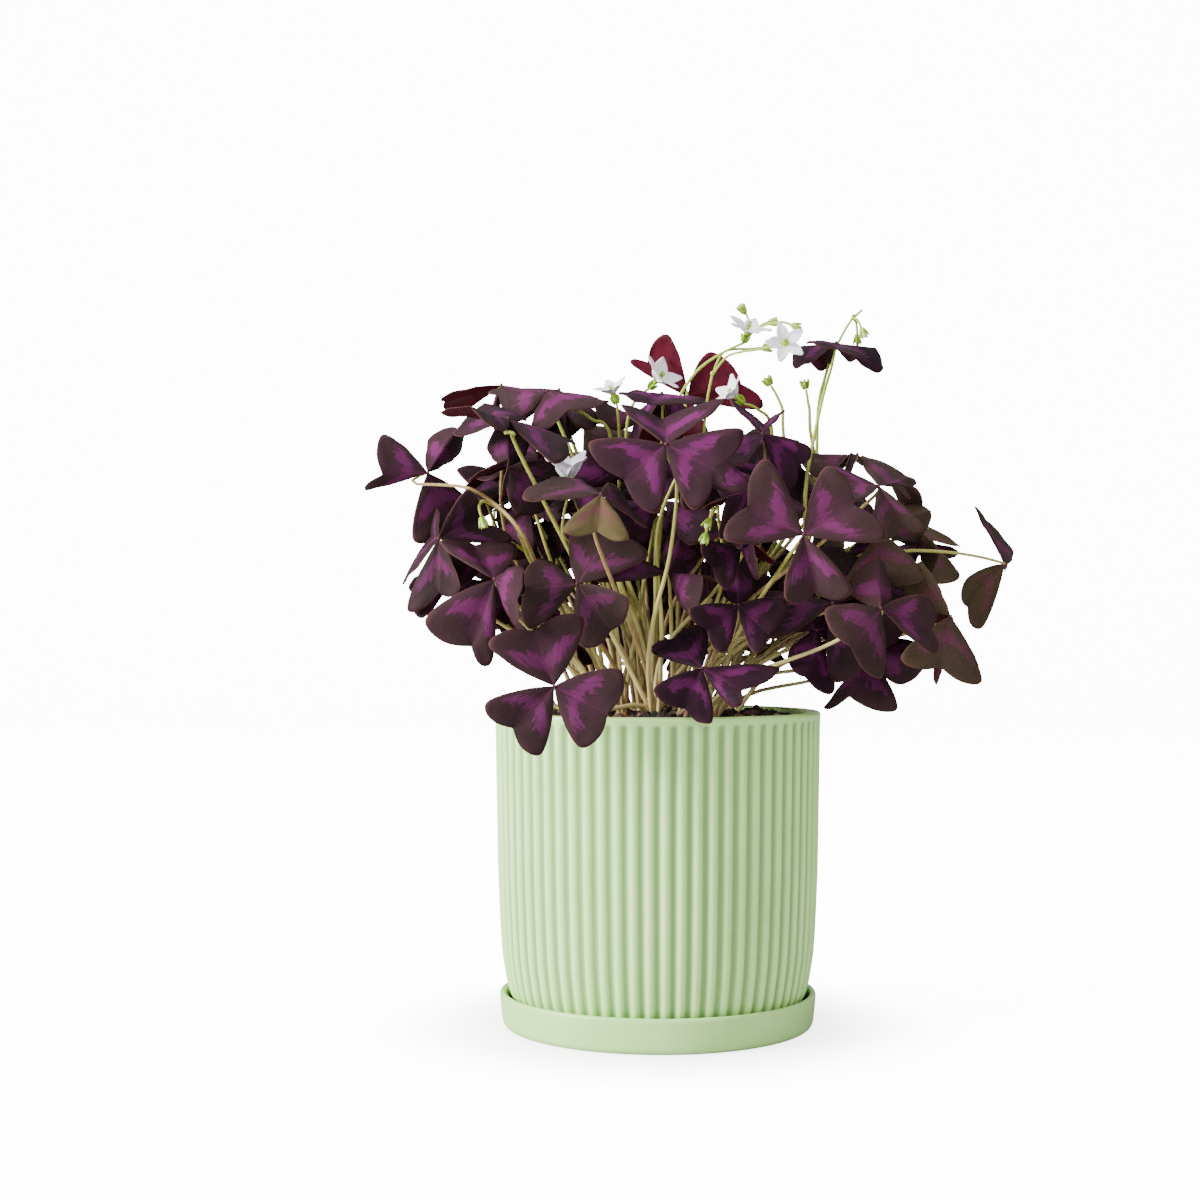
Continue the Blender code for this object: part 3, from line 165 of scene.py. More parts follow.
LEAVES = (
    Leaf((554, 686), -92, 32.5, (
        ((486, 703, -0.3), (513, 728, -0.3), (541, 754, -0.3)),
        ((580, 747, -0.3), (607, 714, -0.3), (620, 670, 0)),
        ((584, 618, 1), (534, 631, 0.5), (489, 645, 0)))),
    Leaf((803, 535), -82, 35, (
        ((767, 460, 0), (748, 507, 0), (727, 541, -0.6)),
        ((784, 596, -0.9), (814, 593, -0.6), (851, 590, -0.6)),
        ((884, 540, 0), (854, 506, 0.3), (826, 467, 0.5)))),
    Leaf((666, 444), -74, 33.5, (
        ((590, 442, 0), (624, 479, -0.3), (657, 512, -0.6)),
        ((692, 509, -0.6), (714, 470, -0.3), (742, 430, 0)),
        ((723, 400, 0.9), (662, 419, 1), (621, 405, 0.8)))),
    Leaf((601, 494), -72, 31, (
        ((563, 530, -0.9), (597, 531, -0.7), (629, 538, -0.8)),
        ((646, 527, 0), (629, 507, 0.4), (613, 483, 1)))),
    Leaf((880, 608), -66, 33, (
        ((891, 593, 1), (847, 586, 1)),
        ((825, 610, -0.4), (851, 647, -1), (881, 677, -0.7)),
        ((930, 653, 0), (930, 629, 0.5), (926, 596, 0.3)))),
    Leaf((494, 579), -66, 35, (
        ((516, 546, 0.9), (473, 546, 1), (439, 543, 1)),
        ((425, 620, 0.2), (471, 646, -0.4), (492, 661, 0)),
        ((515, 627, -1), (517, 599, -1), (521, 567, -0.4)))),
    Leaf((702, 668), -60, 31, (
        ((705, 626, 1), (673, 639, 0.8), (652, 652, 0.7)),
        ((654, 689, -0.7), (685, 708, -0.8), (712, 721, -0.9)),
        ((731, 707, -0.7), (741, 690, -0.8), (778, 667, 0)))),
    Leaf((577, 584), -56, 31.8, (
        ((538, 558, 0.6), (526, 588, -0.3), (531, 629, -0.1)),
        ((580, 645, -0.2), (611, 630, -0.5), (627, 599, -0.6)))),
    Leaf((878, 486), -58, 32, (
        ((816, 459, 0.8), (837, 481, 0.2), (853, 501, -0.4)),
        ((875, 537, -1), (900, 527, -0.5), (922, 526, -0.5)),
        ((914, 486, 0.9), (905, 476, 1), (862, 456, 1)))),
    Leaf((738, 605), -50, 30, (
        ((757, 582, 1), (715, 581, 1)),
        ((690, 608, -0.8), (707, 629, -0.8), (725, 652, -0.8)),
        ((753, 652, -0.7), (768, 634, -0.4), (786, 600, 0.2)))),
    Leaf((741, 550), -46, 28, (
        ((778, 528, 1), (725, 524, 1)),
        ((703, 542, -0.7), (713, 567, -0.7), (728, 589, -0.8)),
        ((757, 579, -0.8), (774, 563, -0.6)))),
    Leaf((880, 533), -46, 33, (
        ((843, 587, -0.6), (881, 581, -0.5), (924, 578, -0.5)),
        ((916, 541, 1), (897, 505, 0.9)),
        ((864, 500, 1), (838, 539, 0.8)))),
    Leaf((949, 616), -46, 32.8, (
        ((936, 584, 0.6), (902, 592, 0.6)),
        ((900, 657, -0.6), (939, 667, -0.4), (980, 681, 0)))),
    Leaf((438, 538), -45, 32.9, (
        ((512, 542, -0.2), (481, 522, -0.1), (467, 490, -0.9)),
        ((437, 509, 1), (430, 536, 1), (401, 584, 0.6)),
        ((406, 609, -0.2), (439, 593, -0.4), (459, 586, -1)))),
    Leaf((762, 434), -44, 29, (
        ((796, 477, -0.6), (803, 452, -0.5), (807, 430, -0.4)),
        ((785, 410, 0.9), (764, 424, 1), (730, 400, 1)),
        ((724, 440, 0.4), (743, 463, -0.8)))),
    Leaf((508, 418), -40, 33, (
        ((530, 397, 1), (455, 411, 0.9)),
        ((442, 413, -0.4), (499, 430, -1)))),
    Leaf((427, 472), -34, 31.2, (
        ((461, 451, 1), (430, 435, 0.8)),
        ((381, 432, 0.4), (380, 474, -0.4), (364, 490, -0.4)))),
    Leaf((508, 467), -36, 31, (
        ((529, 444, 0.9), (487, 447, 0.8)),
        ((468, 479, -1), (500, 503, -1)),
        ((516, 513, 0.2), (553, 464, 0.2)))),
    Leaf((668, 573), -40, 32, (
        ((605, 547, 0.3), (592, 563, 0.1), (600, 582, -0.3)),
        ((690, 614, -0.7), (716, 581, -0.2)),
        ((706, 549, 0.9), (664, 539, 0.9)))),
    Leaf((755, 490), -44, 30.7, (
        ((723, 472, 1), (711, 485, 0.3)),
        ((703, 508, -0.5), (722, 539, -1)),
        ((773, 529, -0.3), (787, 496, 0.2)))),
    Leaf((832, 603), -42, 33, (
        ((768, 592, 0.2), (760, 616, 0), (776, 639, -0.2)),)),
    Leaf((816, 630), -34, 31, (
        ((787, 655, -0.2), (805, 677, -0.9), (834, 691, -0.2)),)),
    Leaf((868, 655), -30, 33, (
        ((860, 622, 1), (841, 648, 0.9)),
        ((823, 707, 0.3), (848, 697, -0.3), (896, 710, -0.6)),
        ((900, 685, 0.5), (907, 638, 0.8)))),
    Leaf((547, 390), -30, 31, (
        ((575, 388, 1), (550, 386, 1)),
        ((527, 399, 0.8), (514, 421, 0.3)))),
    Leaf((559, 389), -18, 33, (
        ((576, 427, -0.8), (600, 424, -0.5), (618, 427, 0)),
        ((600, 394, 0.5), (574, 389, 1)))),
    Leaf((570, 488), -30, 31, (
        ((555, 482, 0.8), (516, 507, 0.1)),
        ((601, 519, -0.7), (620, 497, -0.3)),
        ((622, 476, 0.5), (585, 459, 1)))),
    Leaf((529, 509), -14, 30, (
        ((560, 520, -0.6), (575, 492, 0)),)),
    Leaf((503, 506), -8, 28.7, (
        ((480, 518, -0.4), (501, 540, -0.8)),
        ((508, 535, 0.2), (532, 523, 0.6)))),
    Leaf((664, 500), -30, 32, (
        ((612, 503, 0.2), (632, 541, -0.5)),
        ((690, 545, -0.5), (708, 512, 0.3)))),
    Leaf((688, 397), 12, 32.8, (
        ((633, 365, 0.5), (648, 362, 0.4), (669, 335, 0)),
        ((710, 352, 0), (741, 384, 0), (760, 409, -0.5)))),
    Leaf((662, 393), -24, 31, (
        ((619, 392, -0.9), (651, 404, -1), (707, 402, -0.5)),
        ((704, 396, 0.8), (682, 385, 0.9)),
        ((649, 392, 1), (620, 393, 0.9)))),
    Leaf((836, 343), -5, 28, (
        ((806, 342, -0.8), (838, 350, -1), (869, 358, -0.8)),
        ((884, 363, 0.3), (858, 349, 1)),
        ((818, 337, 1), (790, 343, 0.3)))),
    Leaf((501, 384), -12, 30.4, (
        ((492, 378, 1), (483, 377, 1)),
        ((456, 412, 0.5), (439, 402, 0), (448, 392, -0.4)))),
    Leaf((857, 455), -22, 29.2, (
        ((816, 440, 0.8), (812, 456, -0.5)),
        ((834, 462, -1), (851, 470, -0.9)))),
    Leaf((914, 534), -22, 30, (
        ((960, 577, -0.3), (938, 551, -0.8)),)),
    Leaf((1003, 564), 0, 29, (
        ((980, 627, -0.1), (965, 607, 0.3), (964, 588, 0.5)),), 0.4),
    Leaf((822, 500), -32, 29, (
        ((801, 481, -0.2), (797, 504, -0.7)),)),
    Leaf((585, 424), 6, 29, (
        ((541, 428, 0.3), (545, 447, -0.4)),)),
    Leaf((602, 450), 12, 30, (
        ((563, 460, 0.5), (556, 440, -0.4)),)),
    Leaf((724, 640), -30, 29, (
        ((703, 656, -0.5), (747, 656, -0.6)),)),
    Leaf((668, 590), -12, 30, (
        ((655, 632, -0.5), (678, 630, -0.5)),)),
    Leaf((622, 590), -22, 30, (
        ((632, 623, -0.5), (650, 618, -0.3)),
        ((645, 575, 0.8), (600, 572, 0.8)))),
    Leaf((642, 420), 0, 29, (
        ((608, 413, 0.6), (606, 428, -0.2)),)),
)

# The first leaves show from the front and are set before the flowers; the others hang behind
FRONT_LEAVES = 36

# Leaf stalks that show in the picture, by the leaf's place in LEAVES: from the
# soil up, as picture places and depths
SEEN_STALKS = {
    0: ((590, 712, -50), (556, 706, -84)),
    2: ((650, 640, -52), (669, 560, -56), (677, 485, -60)),
    3: ((597, 542, -64),),
    13: ((548, 590, -20), (531, 556, -30), (500, 540, -38)),
    15: ((524, 462, -20), (514, 434, -32)),
    16: ((545, 580, -12), (520, 530, -22), (490, 500, -28), (462, 486, -28)),
    31: ((790, 600, -20), (806, 480, -24), (822, 400, -14)),
    35: ((800, 600, -20), (880, 556, -10), (940, 552, -4)),
}


class Stem(NamedTuple):
    """A flower stem, from its root up to what it ends in.

    root is a place in millimetres by the bulb that it grows from, or the number of the stem it
    branches from. way holds the picture places and depths that it passes.
    """

    root: tuple
    way: tuple
    end: str


STEMS = (
    Stem((4, -4), ((655, 560, -8), (664, 440, -6), (697, 371, -8), (744, 343, -10)), "calyx"),
    Stem((10, 4), ((700, 560, 6), (704, 430, 0), (712, 376, -6)), "knot"),
    Stem((-6, 2), ((622, 560, 10), (620, 450, 6), (617, 404, 2)), "calyx"),
    Stem((-2, -8), ((640, 560, -4), (636, 450, 2), (628, 408, 4), (645, 390, -12)), "calyx"),
    Stem((16, -2), ((748, 560, 4), (772, 440, 4), (760, 411, -8), (744, 404, -12)), "calyx"),
    Stem((-12, -6), ((600, 590, -36), (572, 530, -50), (569, 489, -56)), "calyx"),
    Stem((20, 8), ((803, 560, 10), (818, 410, 12), (835, 350, 14), (852, 319, 10)), "knot"),
    Stem((14, 10), ((776, 540, 14), (783, 430, 10), (780, 403, 8), (771, 386, 6)), "pod"),
    Stem((18, 2), ((806, 540, 18), (810, 430, 12), (808, 403, 10), (806, 390, 10)), "pod"),
    Stem((-14, 0), (
        (536, 570, -22), (515, 525, -38), (488, 502, -46), (479, 505, -50), (481, 516, -52)
    ), "bud"),
    Stem((8, -12), ((712, 600, -50), (722, 520, -58), (721, 502, -60), (716, 514, -62)), "bud"),
    Stem((-4, 6), ((612, 560, 6), (611, 440, 2), (594, 420, -2), (576, 409, -6)), "bud"),
    Stem(1, ((728, 356, -8), (755, 350, -14), (784, 346, -20)), "calyx"),
    Stem(1, ((724, 352, 0), (748, 349, 4), (762, 348, 6)), "pod"),
    Stem(0, ((754, 331, -6), (764, 324, -4), (767, 323, -4)), "bud"),
    Stem(0, ((750, 330, 0), (748, 318, 4), (746, 314, 4)), "bud"),
    Stem(0, ((758, 328, -12), (780, 322, -16), (790, 325, -18)), "bud"),
    Stem(6, ((857, 320, 6), (861, 328, 4)), "bud"),
    Stem(6, ((856, 323, 14), (857, 334, 16)), "bud"),
    Stem(6, ((857, 315, 10), (860, 312, 10)), "tip"),
    Stem(10, ((713, 508, -56), (706, 533, -62)), "bud"),
)


class Bloom(NamedTuple):
    """A flower: the number of its stem, the way its cup faces, how far its petals open from that
    way in degrees, the petals' length in millimetres and the cup's turn."""

    stem: int
    axis: tuple
    spread: float
    size: float
    roll: float


BLOOMS = (
    Bloom(0, (0.25, -0.45, 0.85), 62, 10.5, 10),
    Bloom(12, (0.05, -1.0, 0.10), 70, 8.8, 0),
    Bloom(2, (-0.30, -0.35, 0.85), 50, 9.0, 30),
    Bloom(3, (0.62, -0.45, 0.60), 48, 12.0, 20),
    Bloom(4, (-0.70, -0.40, 0.60), 42, 10.0, 0),
    Bloom(5, (-0.05, -0.35, 1.00), 34, 14.0, 12),
)

# Middle and mean leaflet side of the sprays at the back
CLUMP_CENTRE = np.array((0.0, 6.0, 165.0)) * MM
BACK_SIDE = 32.0 * MM


def unit(vector):
    return vector / np.linalg.norm(vector)


def sight_ray(u, v):
    """Direction from the eye through the picture place (u, v), one unit deep."""
    return np.array(((u - AXIS_U) / PICTURE_FOCAL, 1.0, (HORIZON_V - v) / PICTURE_FOCAL))


def sight_point(u, v, depth):
    """Point seen at (u, v) that lies depth behind the pot's axis."""
    return EYE + sight_ray(u, v) * (depth - EYE[1])


def reach_point(hub, reading, length):
    """Vector from the hub to the point seen at a reading (u, v, lean), length from the hub.

    The line of sight meets the sphere round the hub twice. lean picks the near (-1) or the far
    (1) crossing, or a place between them; where the line misses, its nearest point is taken.
    """
    u, v, lean = reading
    ray = sight_ray(u, v)
    to_hub = hub - EYE
    size = ray @ ray
    nearest = ray @ to_hub / size
    spare = nearest**2 - (to_hub @ to_hub - length**2) / size
    return EYE + ray * (nearest + lean * math.sqrt(max(spare, 0.0))) - hub


def folded_midrib(first, last, length):
    """Midrib of a leaflet with drooping halves, from its two corners: their bisector, lifted
    towards the upper face until each half keeps its corner angle."""
    bisector = unit(first + last)
    upper = unit(np.cross(first, last))
    spread = max(unit(first) @ bisector, 0.2)
    lift = math.acos(min(math.cos(CORNER_ANGLE) / spread, 1.0))
    return length * (math.cos(lift) * bisector + math.sin(lift) * upper)


def open_leaflet(heading, upper, side):
    """An unmeasured leaflet: open along a heading, with both halves drooping from the midrib."""
    along = unit(heading)
    across = unit(np.cross(upper, along))
    sink = -math.sin(DROOP) * unit(upper)
    first, last = (
        side * (math.cos(CORNER_ANGLE) * along + math.sin(CORNER_ANGLE) * (turn * across + sink))
        for turn in (-1, 1)
    )
    return first, side * LEAFLET.tip * along, last


def turned(vector, axis, angle):
    """The vector turned about a unit axis, by Rodrigues' formula."""
    return (
        vector * math.cos(angle)
        + np.cross(axis, vector) * math.sin(angle)
        + axis * (axis @ vector) * (1 - math.cos(angle))
    )


def leaf_lobes(leaf, hub):
    """(corner, notch, corner) vectors of a leaf's three leaflets, counterclockwise from above.

    Leaflets that are not measured fill the gap, hanging a little below the hub's plane.
    """
    side = leaf.side * MM
    lobes = []
    for readings in leaf.leaflets:
        first = reach_point(hub, readings[0], side)
        last = reach_point(hub, readings[-1], side)
        if len(readings) == 3:
            tip = reach_point(hub, readings[1], LEAFLET.tip * side)
        else:
            tip = folded_midrib(first, last, LEAFLET.tip * side)
        lobes.append((first, tip, last))
    upper = unit(sum(unit(np.cross(first, last)) for first, _, last in lobes))
    flat = [unit(tip - upper * (tip @ upper)) for _, tip, _ in lobes]
    hang = leaf.hang * upper
    if len(lobes) == 1:
        for turn in (1, 2):
            heading = turned(flat[0], upper, turn * math.tau / 3)
            lobes.append(open_leaflet(heading - hang, upper, side))
    elif len(lobes) == 2:
        lobes.append(open_leaflet(-unit(flat[0] + flat[1]) - hang, upper, side))
    return lobes


def star_surface(lobes, hub_radius, outline):
    """Points and triangles of the upper face of leaflets or petals round a hub at the origin.

    A half lobe is the flat outline half laid on the plane of the lobe's midrib and corner, and
    neighbouring lobes share a point beside the hub.
    """
    points = [np.zeros(3)]
    count = len(lobes)
    for index in range(count):
        before, after = lobes[index - 1], lobes[index]
        between = unit(before[2]) + unit(after[0])
        if np.linalg.norm(between) < 0.3:
            between = -unit(before[1]) - unit(after[1])
        points.append(hub_radius * unit(between))
    corner_along, corner_across = outline.corner
    triangles = []
    for index, (first, tip, last) in enumerate(lobes):
        rows = [(1 + index, 0, 1 + (index + 1) % count)]
        for (along, across), rib in zip(outline.margin, outline.midrib):
            part = across / corner_across
            rest = tip * (along - corner_along * part) / outline.tip
            points += [first * part + rest, tip * rib / outline.tip, last * part + rest]
            rows.append((len(points) - 3, len(points) - 2, len(points) - 1))
        points.append(tip)
        end = len(points) - 1
        for (right, middle, left), (next_right, next_middle, next_left) in zip(rows, rows[1:]):
            triangles += [(middle, right, next_right), (middle, next_right, next_middle)]
            triangles += [(middle, next_middle, next_left), (middle, next_left, left)]
        right, middle, left = rows[-1]
        triangles += [(middle, right, end), (middle, end, left)]
    return np.array(points), np.array(triangles)


def vertex_normals(points, triangles):
    """Unit normals at the points, each from the sum of its triangles' area vectors."""
    corners = points[triangles]
    areas = np.cross(corners[:, 1] - corners[:, 0], corners[:, 2] - corners[:, 0])
    normals = np.zeros_like(points)
    for column in range(3):
        np.add.at(normals, triangles[:, column], areas)
    return normals / np.linalg.norm(normals, axis=1, keepdims=True)


def blade_solid(points, triangles, above, below):
    """Closed solid of a thin blade: the surface moved up and down its normals, with an edge."""
    normals = vertex_normals(points, triangles)
    edges = {(int(tri[i]), int(tri[(i + 1) % 3])) for tri in triangles for i in range(3)}
    rim = sorted(edge for edge in edges if edge[::-1] not in edges)
    count = len(points)
    faces = [tuple(int(i) for i in tri) for tri in triangles]
    faces += [(c + count, b + count, a + count) for a, b, c in faces]
    for a, b in rim:
        faces += [(b, a, a + count), (b, a + count, b + count)]
    return np.vstack((points + normals * above, points - normals * below)), faces


def tree_of(points, faces):
    return BVHTree.FromPolygons([tuple(p) for p in points], faces)


def map_trees(solids):
    return [tree_of(*solid) for solid in solids]


class Placed(NamedTuple):
    """A leaf or bloom in its place: its hub, the hub's upward normal, its lobes' corners and
    tips, and its upper face as points from the hub and triangles."""

    hub: np.ndarray
    upper: np.ndarray
    lobes: list
    points: np.ndarray
    triangles: np.ndarray

    def solid(self, above=0.0, below=BLADE):
        return blade_solid(self.points + self.hub, self.triangles, above, below)


def placed(hub, lobes, outline):
    points, triangles = star_surface(lobes, HUB_RADIUS, outline)
    return Placed(hub, vertex_normals(points, triangles)[0], lobes, points, triangles)


def measured_leaves(measured, trees):
    """Leaves as they are measured, each set back along its line of sight until it is clear of
    what is placed. Adds each one's tree to trees."""
    leaves = []
    for leaf in measured:
        start = sight_point(*leaf.hub, leaf.depth * MM)
        lobes = leaf_lobes(leaf, start)
        for step in range(SETTLE_TRIES):
            hub = start + sight_ray(*leaf.hub) * SETTLE_STEP * step
            trefoil = placed(hub, lobes, LEAFLET)
            thick = tree_of(*trefoil.solid(CLEARANCE, BLADE + CLEARANCE))
            if not any(thick.overlap(other) for other in trees):
                break
        else:
            raise RuntimeError(f"the leaf at {leaf.hub} finds no room")
        leaves.append(trefoil)
        trees.append(tree_of(*trefoil.solid()))
    return leaves


def bulb_places():
    """Centres of the bulbs on a triangular lattice inside the recess."""
    places = []
    reach = int(BULB_FIELD / BULB_SPACING) + 2
    for row in range(-reach, reach + 1):
        for column in range(-reach, reach + 1):
            x = (column + 0.5 * (row % 2)) * BULB_SPACING
            y = row * BULB_SPACING * math.sqrt(0.75)
            if math.hypot(x, y) <= BULB_FIELD:
                places.append((x, y))
    return places


def catmull_rom(a, b, c, d, t):
    """Place at the part t of the way from b to c, with a before and d after: half of
    2b + (c - a) t + (2a - 5b + 4c - d) t^2 + (3b - a - 3c + d) t^3."""
    return 0.5 * (2 * b + (c - a) * t + (2 * a - 5 * b + 4 * c - d) * t**2
                  + (3 * b - a - 3 * c + d) * t**3)


def spline(knots, steps, start=None, end=None):
    """Points of a Catmull-Rom curve through the knots, steps to a span. start and end give its
    tangents at the first and last knot."""
    knots = [np.array(knot) for knot in knots]
    before = 2 * knots[0] - knots[1] if start is None else knots[1] - 2 * start
    after = 2 * knots[-1] - knots[-2] if end is None else knots[-2] + 2 * end
    frame = [before, *knots, after]
    points = [knots[0]]
    for a, b, c, d in zip(frame, frame[1:], frame[2:], frame[3:]):
        points += [catmull_rom(a, b, c, d, step / steps) for step in range(1, steps + 1)]
    return points


def tube_solid(path, radii, sides):
    """A tube along a path: a ring square to the path at each point, turned as little as may be
    from the one before, with flat ends."""
    steps = [unit(b - a) for a, b in zip(path, path[1:])]
    tangents = [steps[0], *[unit(a + b) for a, b in zip(steps, steps[1:])], steps[-1]]
    side = unit(np.cross(tangents[0], (0.3, 0.9, 0.1)))
    verts, faces = [], []
    for point, tangent, radius in zip(path, tangents, radii):
        side = unit(side - tangent * (side @ tangent))
        other = np.cross(tangent, side)
        for index in range(sides):
            angle = math.tau * index / sides
            verts.append(point + radius * (math.cos(angle) * side + math.sin(angle) * other))
    for level in range(len(path) - 1):
        for index in range(sides):
            a, b = level * sides + index, level * sides + (index + 1) % sides
            faces.append((a, b, b + sides, a + sides))
    faces.append(tuple(range(sides))[::-1])
    faces.append(tuple(len(verts) - sides + index for index in range(sides)))
    return verts, faces


class Obstacles:
    """Solids that stalks keep clear of, in one search tree."""

    def __init__(self, solids):
        self.solids = list(solids)
        self.build()

    def build(self):
        verts, faces, self.owners = [], [], []
        for owner, (points, polygons) in enumerate(self.solids):
            start = len(verts)
            verts += [tuple(point) for point in points]
            faces += [tuple(start + index for index in polygon) for polygon in polygons]
            self.owners += [owner] * len(polygons)
        self.tree = BVHTree.FromPolygons(verts, faces)

    def add(self, *solids):
        self.solids += solids
        self.build()

    def gap(self, path, radii, own=-1):
        """Least gap beside a tube, less what it may lack: a stalk may come nearer its own leaf
        within its straight end."""
        least = 1.0
        left = sum(np.linalg.norm(b - a) for a, b in zip(path, path[1:]))
        for a, b, first, last in zip(path, path[1:], radii, radii[1:]):
            length = np.linalg.norm(b - a)
            count = max(int(length / SAMPLE), 1)
            for step in range(count + 1):
                t = step / count
                place = a + (b - a) * t
                _, _, face, far = self.tree.find_nearest(Vector(place), GAP_REACH)
                if far is None:
                    continue
                allowed = 0.0
                if self.owners[face] == own and left - t * length <= STALK_END + SAMPLE:
                    allowed = STALK_GAP - OWN_LEAF_GAP
                least = min(least, far - (first + (last - first) * t) + allowed)
            if least < 0:
                return least
            left -= length
        return least


class Stalk(NamedTuple):
    """A stalk's centre line and its radius at each point of it."""

    path: list
    radii: list


def tapered(path, foot, tip):
    """Radii along a path that taper evenly from foot to tip."""
    runs = [0.0]
    for a, b in zip(path, path[1:]):
        runs.append(runs[-1] + np.linalg.norm(b - a))
    return [foot + (tip - foot) * run / runs[-1] for run in runs]


def clearest(tries, obstacles, own):
    """The first stalk that keeps its gap, or else the one that keeps the most."""
    best, most = None, -1.0
    for stalk in tries:
        gap = obstacles.gap(stalk.path, stalk.radii, own)
        if gap > most:
            best, most = stalk, gap
        if most >= STALK_GAP:
            break
    return best


def petiole_tries(leaf, vias, draw, tries=STALK_TRIES):
    """Ways that a leaf's stalk could run: up from a bulb, through what shows of it, then straight
    up the leaf's normal to just under its hub. Later tries stray further."""
    feet = [np.array((x, y, SPROUT_HEIGHT)) for x, y in bulb_places()]
    feet.sort(key=lambda foot: np.linalg.norm(foot[:2] - FOOT_PULL * leaf.hub[:2]))
    for count in range(tries):
        stray = count / tries
        short = STALK_SHORT * (1.0 + 1.2 * stray)
        sway = np.array([draw.uniform(-1, 1) for _ in range(3)])
        end = leaf.hub - leaf.upper * (BLADE + short)
        neck = end - unit(leaf.upper + 0.5 * stray * sway) * STALK_END
        foot = feet[draw.randrange(2 + int(12 * stray))].copy()
        foot[:2] += [draw.uniform(-FOOT_STRAY, FOOT_STRAY) * MM for _ in range(2)]
        shift = draw.uniform(-1, 1) * STALK_STRAY * MM * stray
        knots = [foot]
        for u, v, depth in vias:
            back = draw.uniform(-PLACE_STRAY, PLACE_STRAY) * MM * stray
            knots.append(sight_point(u, v, depth * MM + shift + back))
        knots.append(neck)
        first = np.linalg.norm(knots[1] - knots[0])
        last = np.linalg.norm(knots[-1] - knots[-2])
        lean = np.array((draw.uniform(-1, 1), draw.uniform(-1, 1), 0.0)) * (0.1 + 0.8 * stray)
        start = first * draw.uniform(0.6, 1.4) * unit(np.array((0.0, 0.0, 1.0)) + lean)
        finish = last * draw.uniform(0.35, 1.0) * unit(neck - end) * -1.0
        steps = STALK_STEPS - 1 if len(knots) == 2 else 3
        path = spline(knots, steps, start, finish)
        yield Stalk([*path, end], [*tapered(path, STALK_FOOT, STALK_NECK), STALK_TIP])


def stem_tries(stem, stems, draw):
    """Ways that a flower stem could run through its picture places. Later tries stray further,
    most of all low down, where the leaves hide the stem."""
    for count in range(STALK_TRIES):
        stray = count / STALK_TRIES
        shift = draw.uniform(-1, 1) * STEM_STRAY * MM * stray
        knots = []
        for u, v, depth in stem.way:
            loose = stray * (7 + 0.15 * max(v - 400, 0))
            aside = [loose * draw.uniform(-1, 1) for _ in range(3)]
            place = sight_point(u + aside[0], v + aside[1], (depth + aside[2]) * MM + shift)
            knots.append(place)
        if isinstance(stem.root, int):
            joints = stems[stem.root].path
            start = None
            knots = [min(joints, key=lambda joint: np.linalg.norm(joint - knots[0])), *knots]
        else:
            root = np.array(stem.root) * MM
            bulb = min(bulb_places(), key=lambda place: np.linalg.norm(root - place))
            foot = np.array((*bulb, SPROUT_HEIGHT))
            start = np.array((0.0, 0.0, np.linalg.norm(knots[0] - foot)))
            knots = [foot, *knots]
        path = spline(knots, 2, start)
        yield Stalk(path, tapered(path, STEM_FOOT if start is not None else STEM_TIP, STEM_TIP))


def end_solid(stalk, kind, heading):
    """What a stem ends in: a spindle along a heading, its foot sunk in the stem's end."""
    length, radius = STEM_ENDS[kind]
    foot = stalk.path[-1] - heading * STEM_TIP
    path = [foot + heading * length * part for part in (0.0, 0.35, 0.75, 1.0)]
    return tube_solid(path, [radius * part for part in (0.35, 0.9, 1.0, 0.5)], 5)


def bloom_star(bloom, stalk):
    """A flower just clear of the calyx at its stem's end."""
    axis = unit(np.array(bloom.axis))
    across = unit(np.cross(axis, (0.0, 0.0, 1.0)))
    spread, size = math.radians(bloom.spread), bloom.size * MM
    corner_along, corner_across = PETAL_OUTLINE.corner
    hub = stalk.path[-1] + axis * (STEM_ENDS["calyx"][0] - STEM_TIP + BLADE + SEAT_GAP)
    lobes = []
    for petal in range(PETALS):
        out = turned(across, axis, math.radians(bloom.roll) + math.tau * petal / PETALS)
        along = math.cos(spread) * axis + math.sin(spread) * out
        width = size * corner_across * unit(np.cross(axis, out))
        middle = size * corner_along * along
        lobes.append((middle - width, size * along, middle + width))
    return placed(hub, lobes, PETAL_OUTLINE)


# How far a rule leaflet's corner is from its hub, in side lengths
RULE_CORNER = math.sqrt(1.0 + (math.sin(CORNER_ANGLE) * math.sin(DROOP)) ** 2)
# Least and greatest length of a midrib in the sprays
RIB_LEAST = 0.74 * BACK_SIDE
RIB_MOST = 0.925 * BACK_SIDE
# How far a solid's point may be from where the rule puts it
LOOSE = 0.02 * MM
# How close two hubs are that count as one
SAME_HUB = 3 * MM
# Leaves in the sprays face away from a place this far below the clump's middle
BELOW = np.array((0, 0, 0.1))
# How far a leaflet that a spray's solid doesn't show hangs for each length that it runs out
HIDDEN_DROOP = 1.1


class StemEnd(NamedTuple):
    """A flower stem with the kind of its end and the way that the end points."""

    stalk: Stalk
    kind: str
    heading: np.ndarray


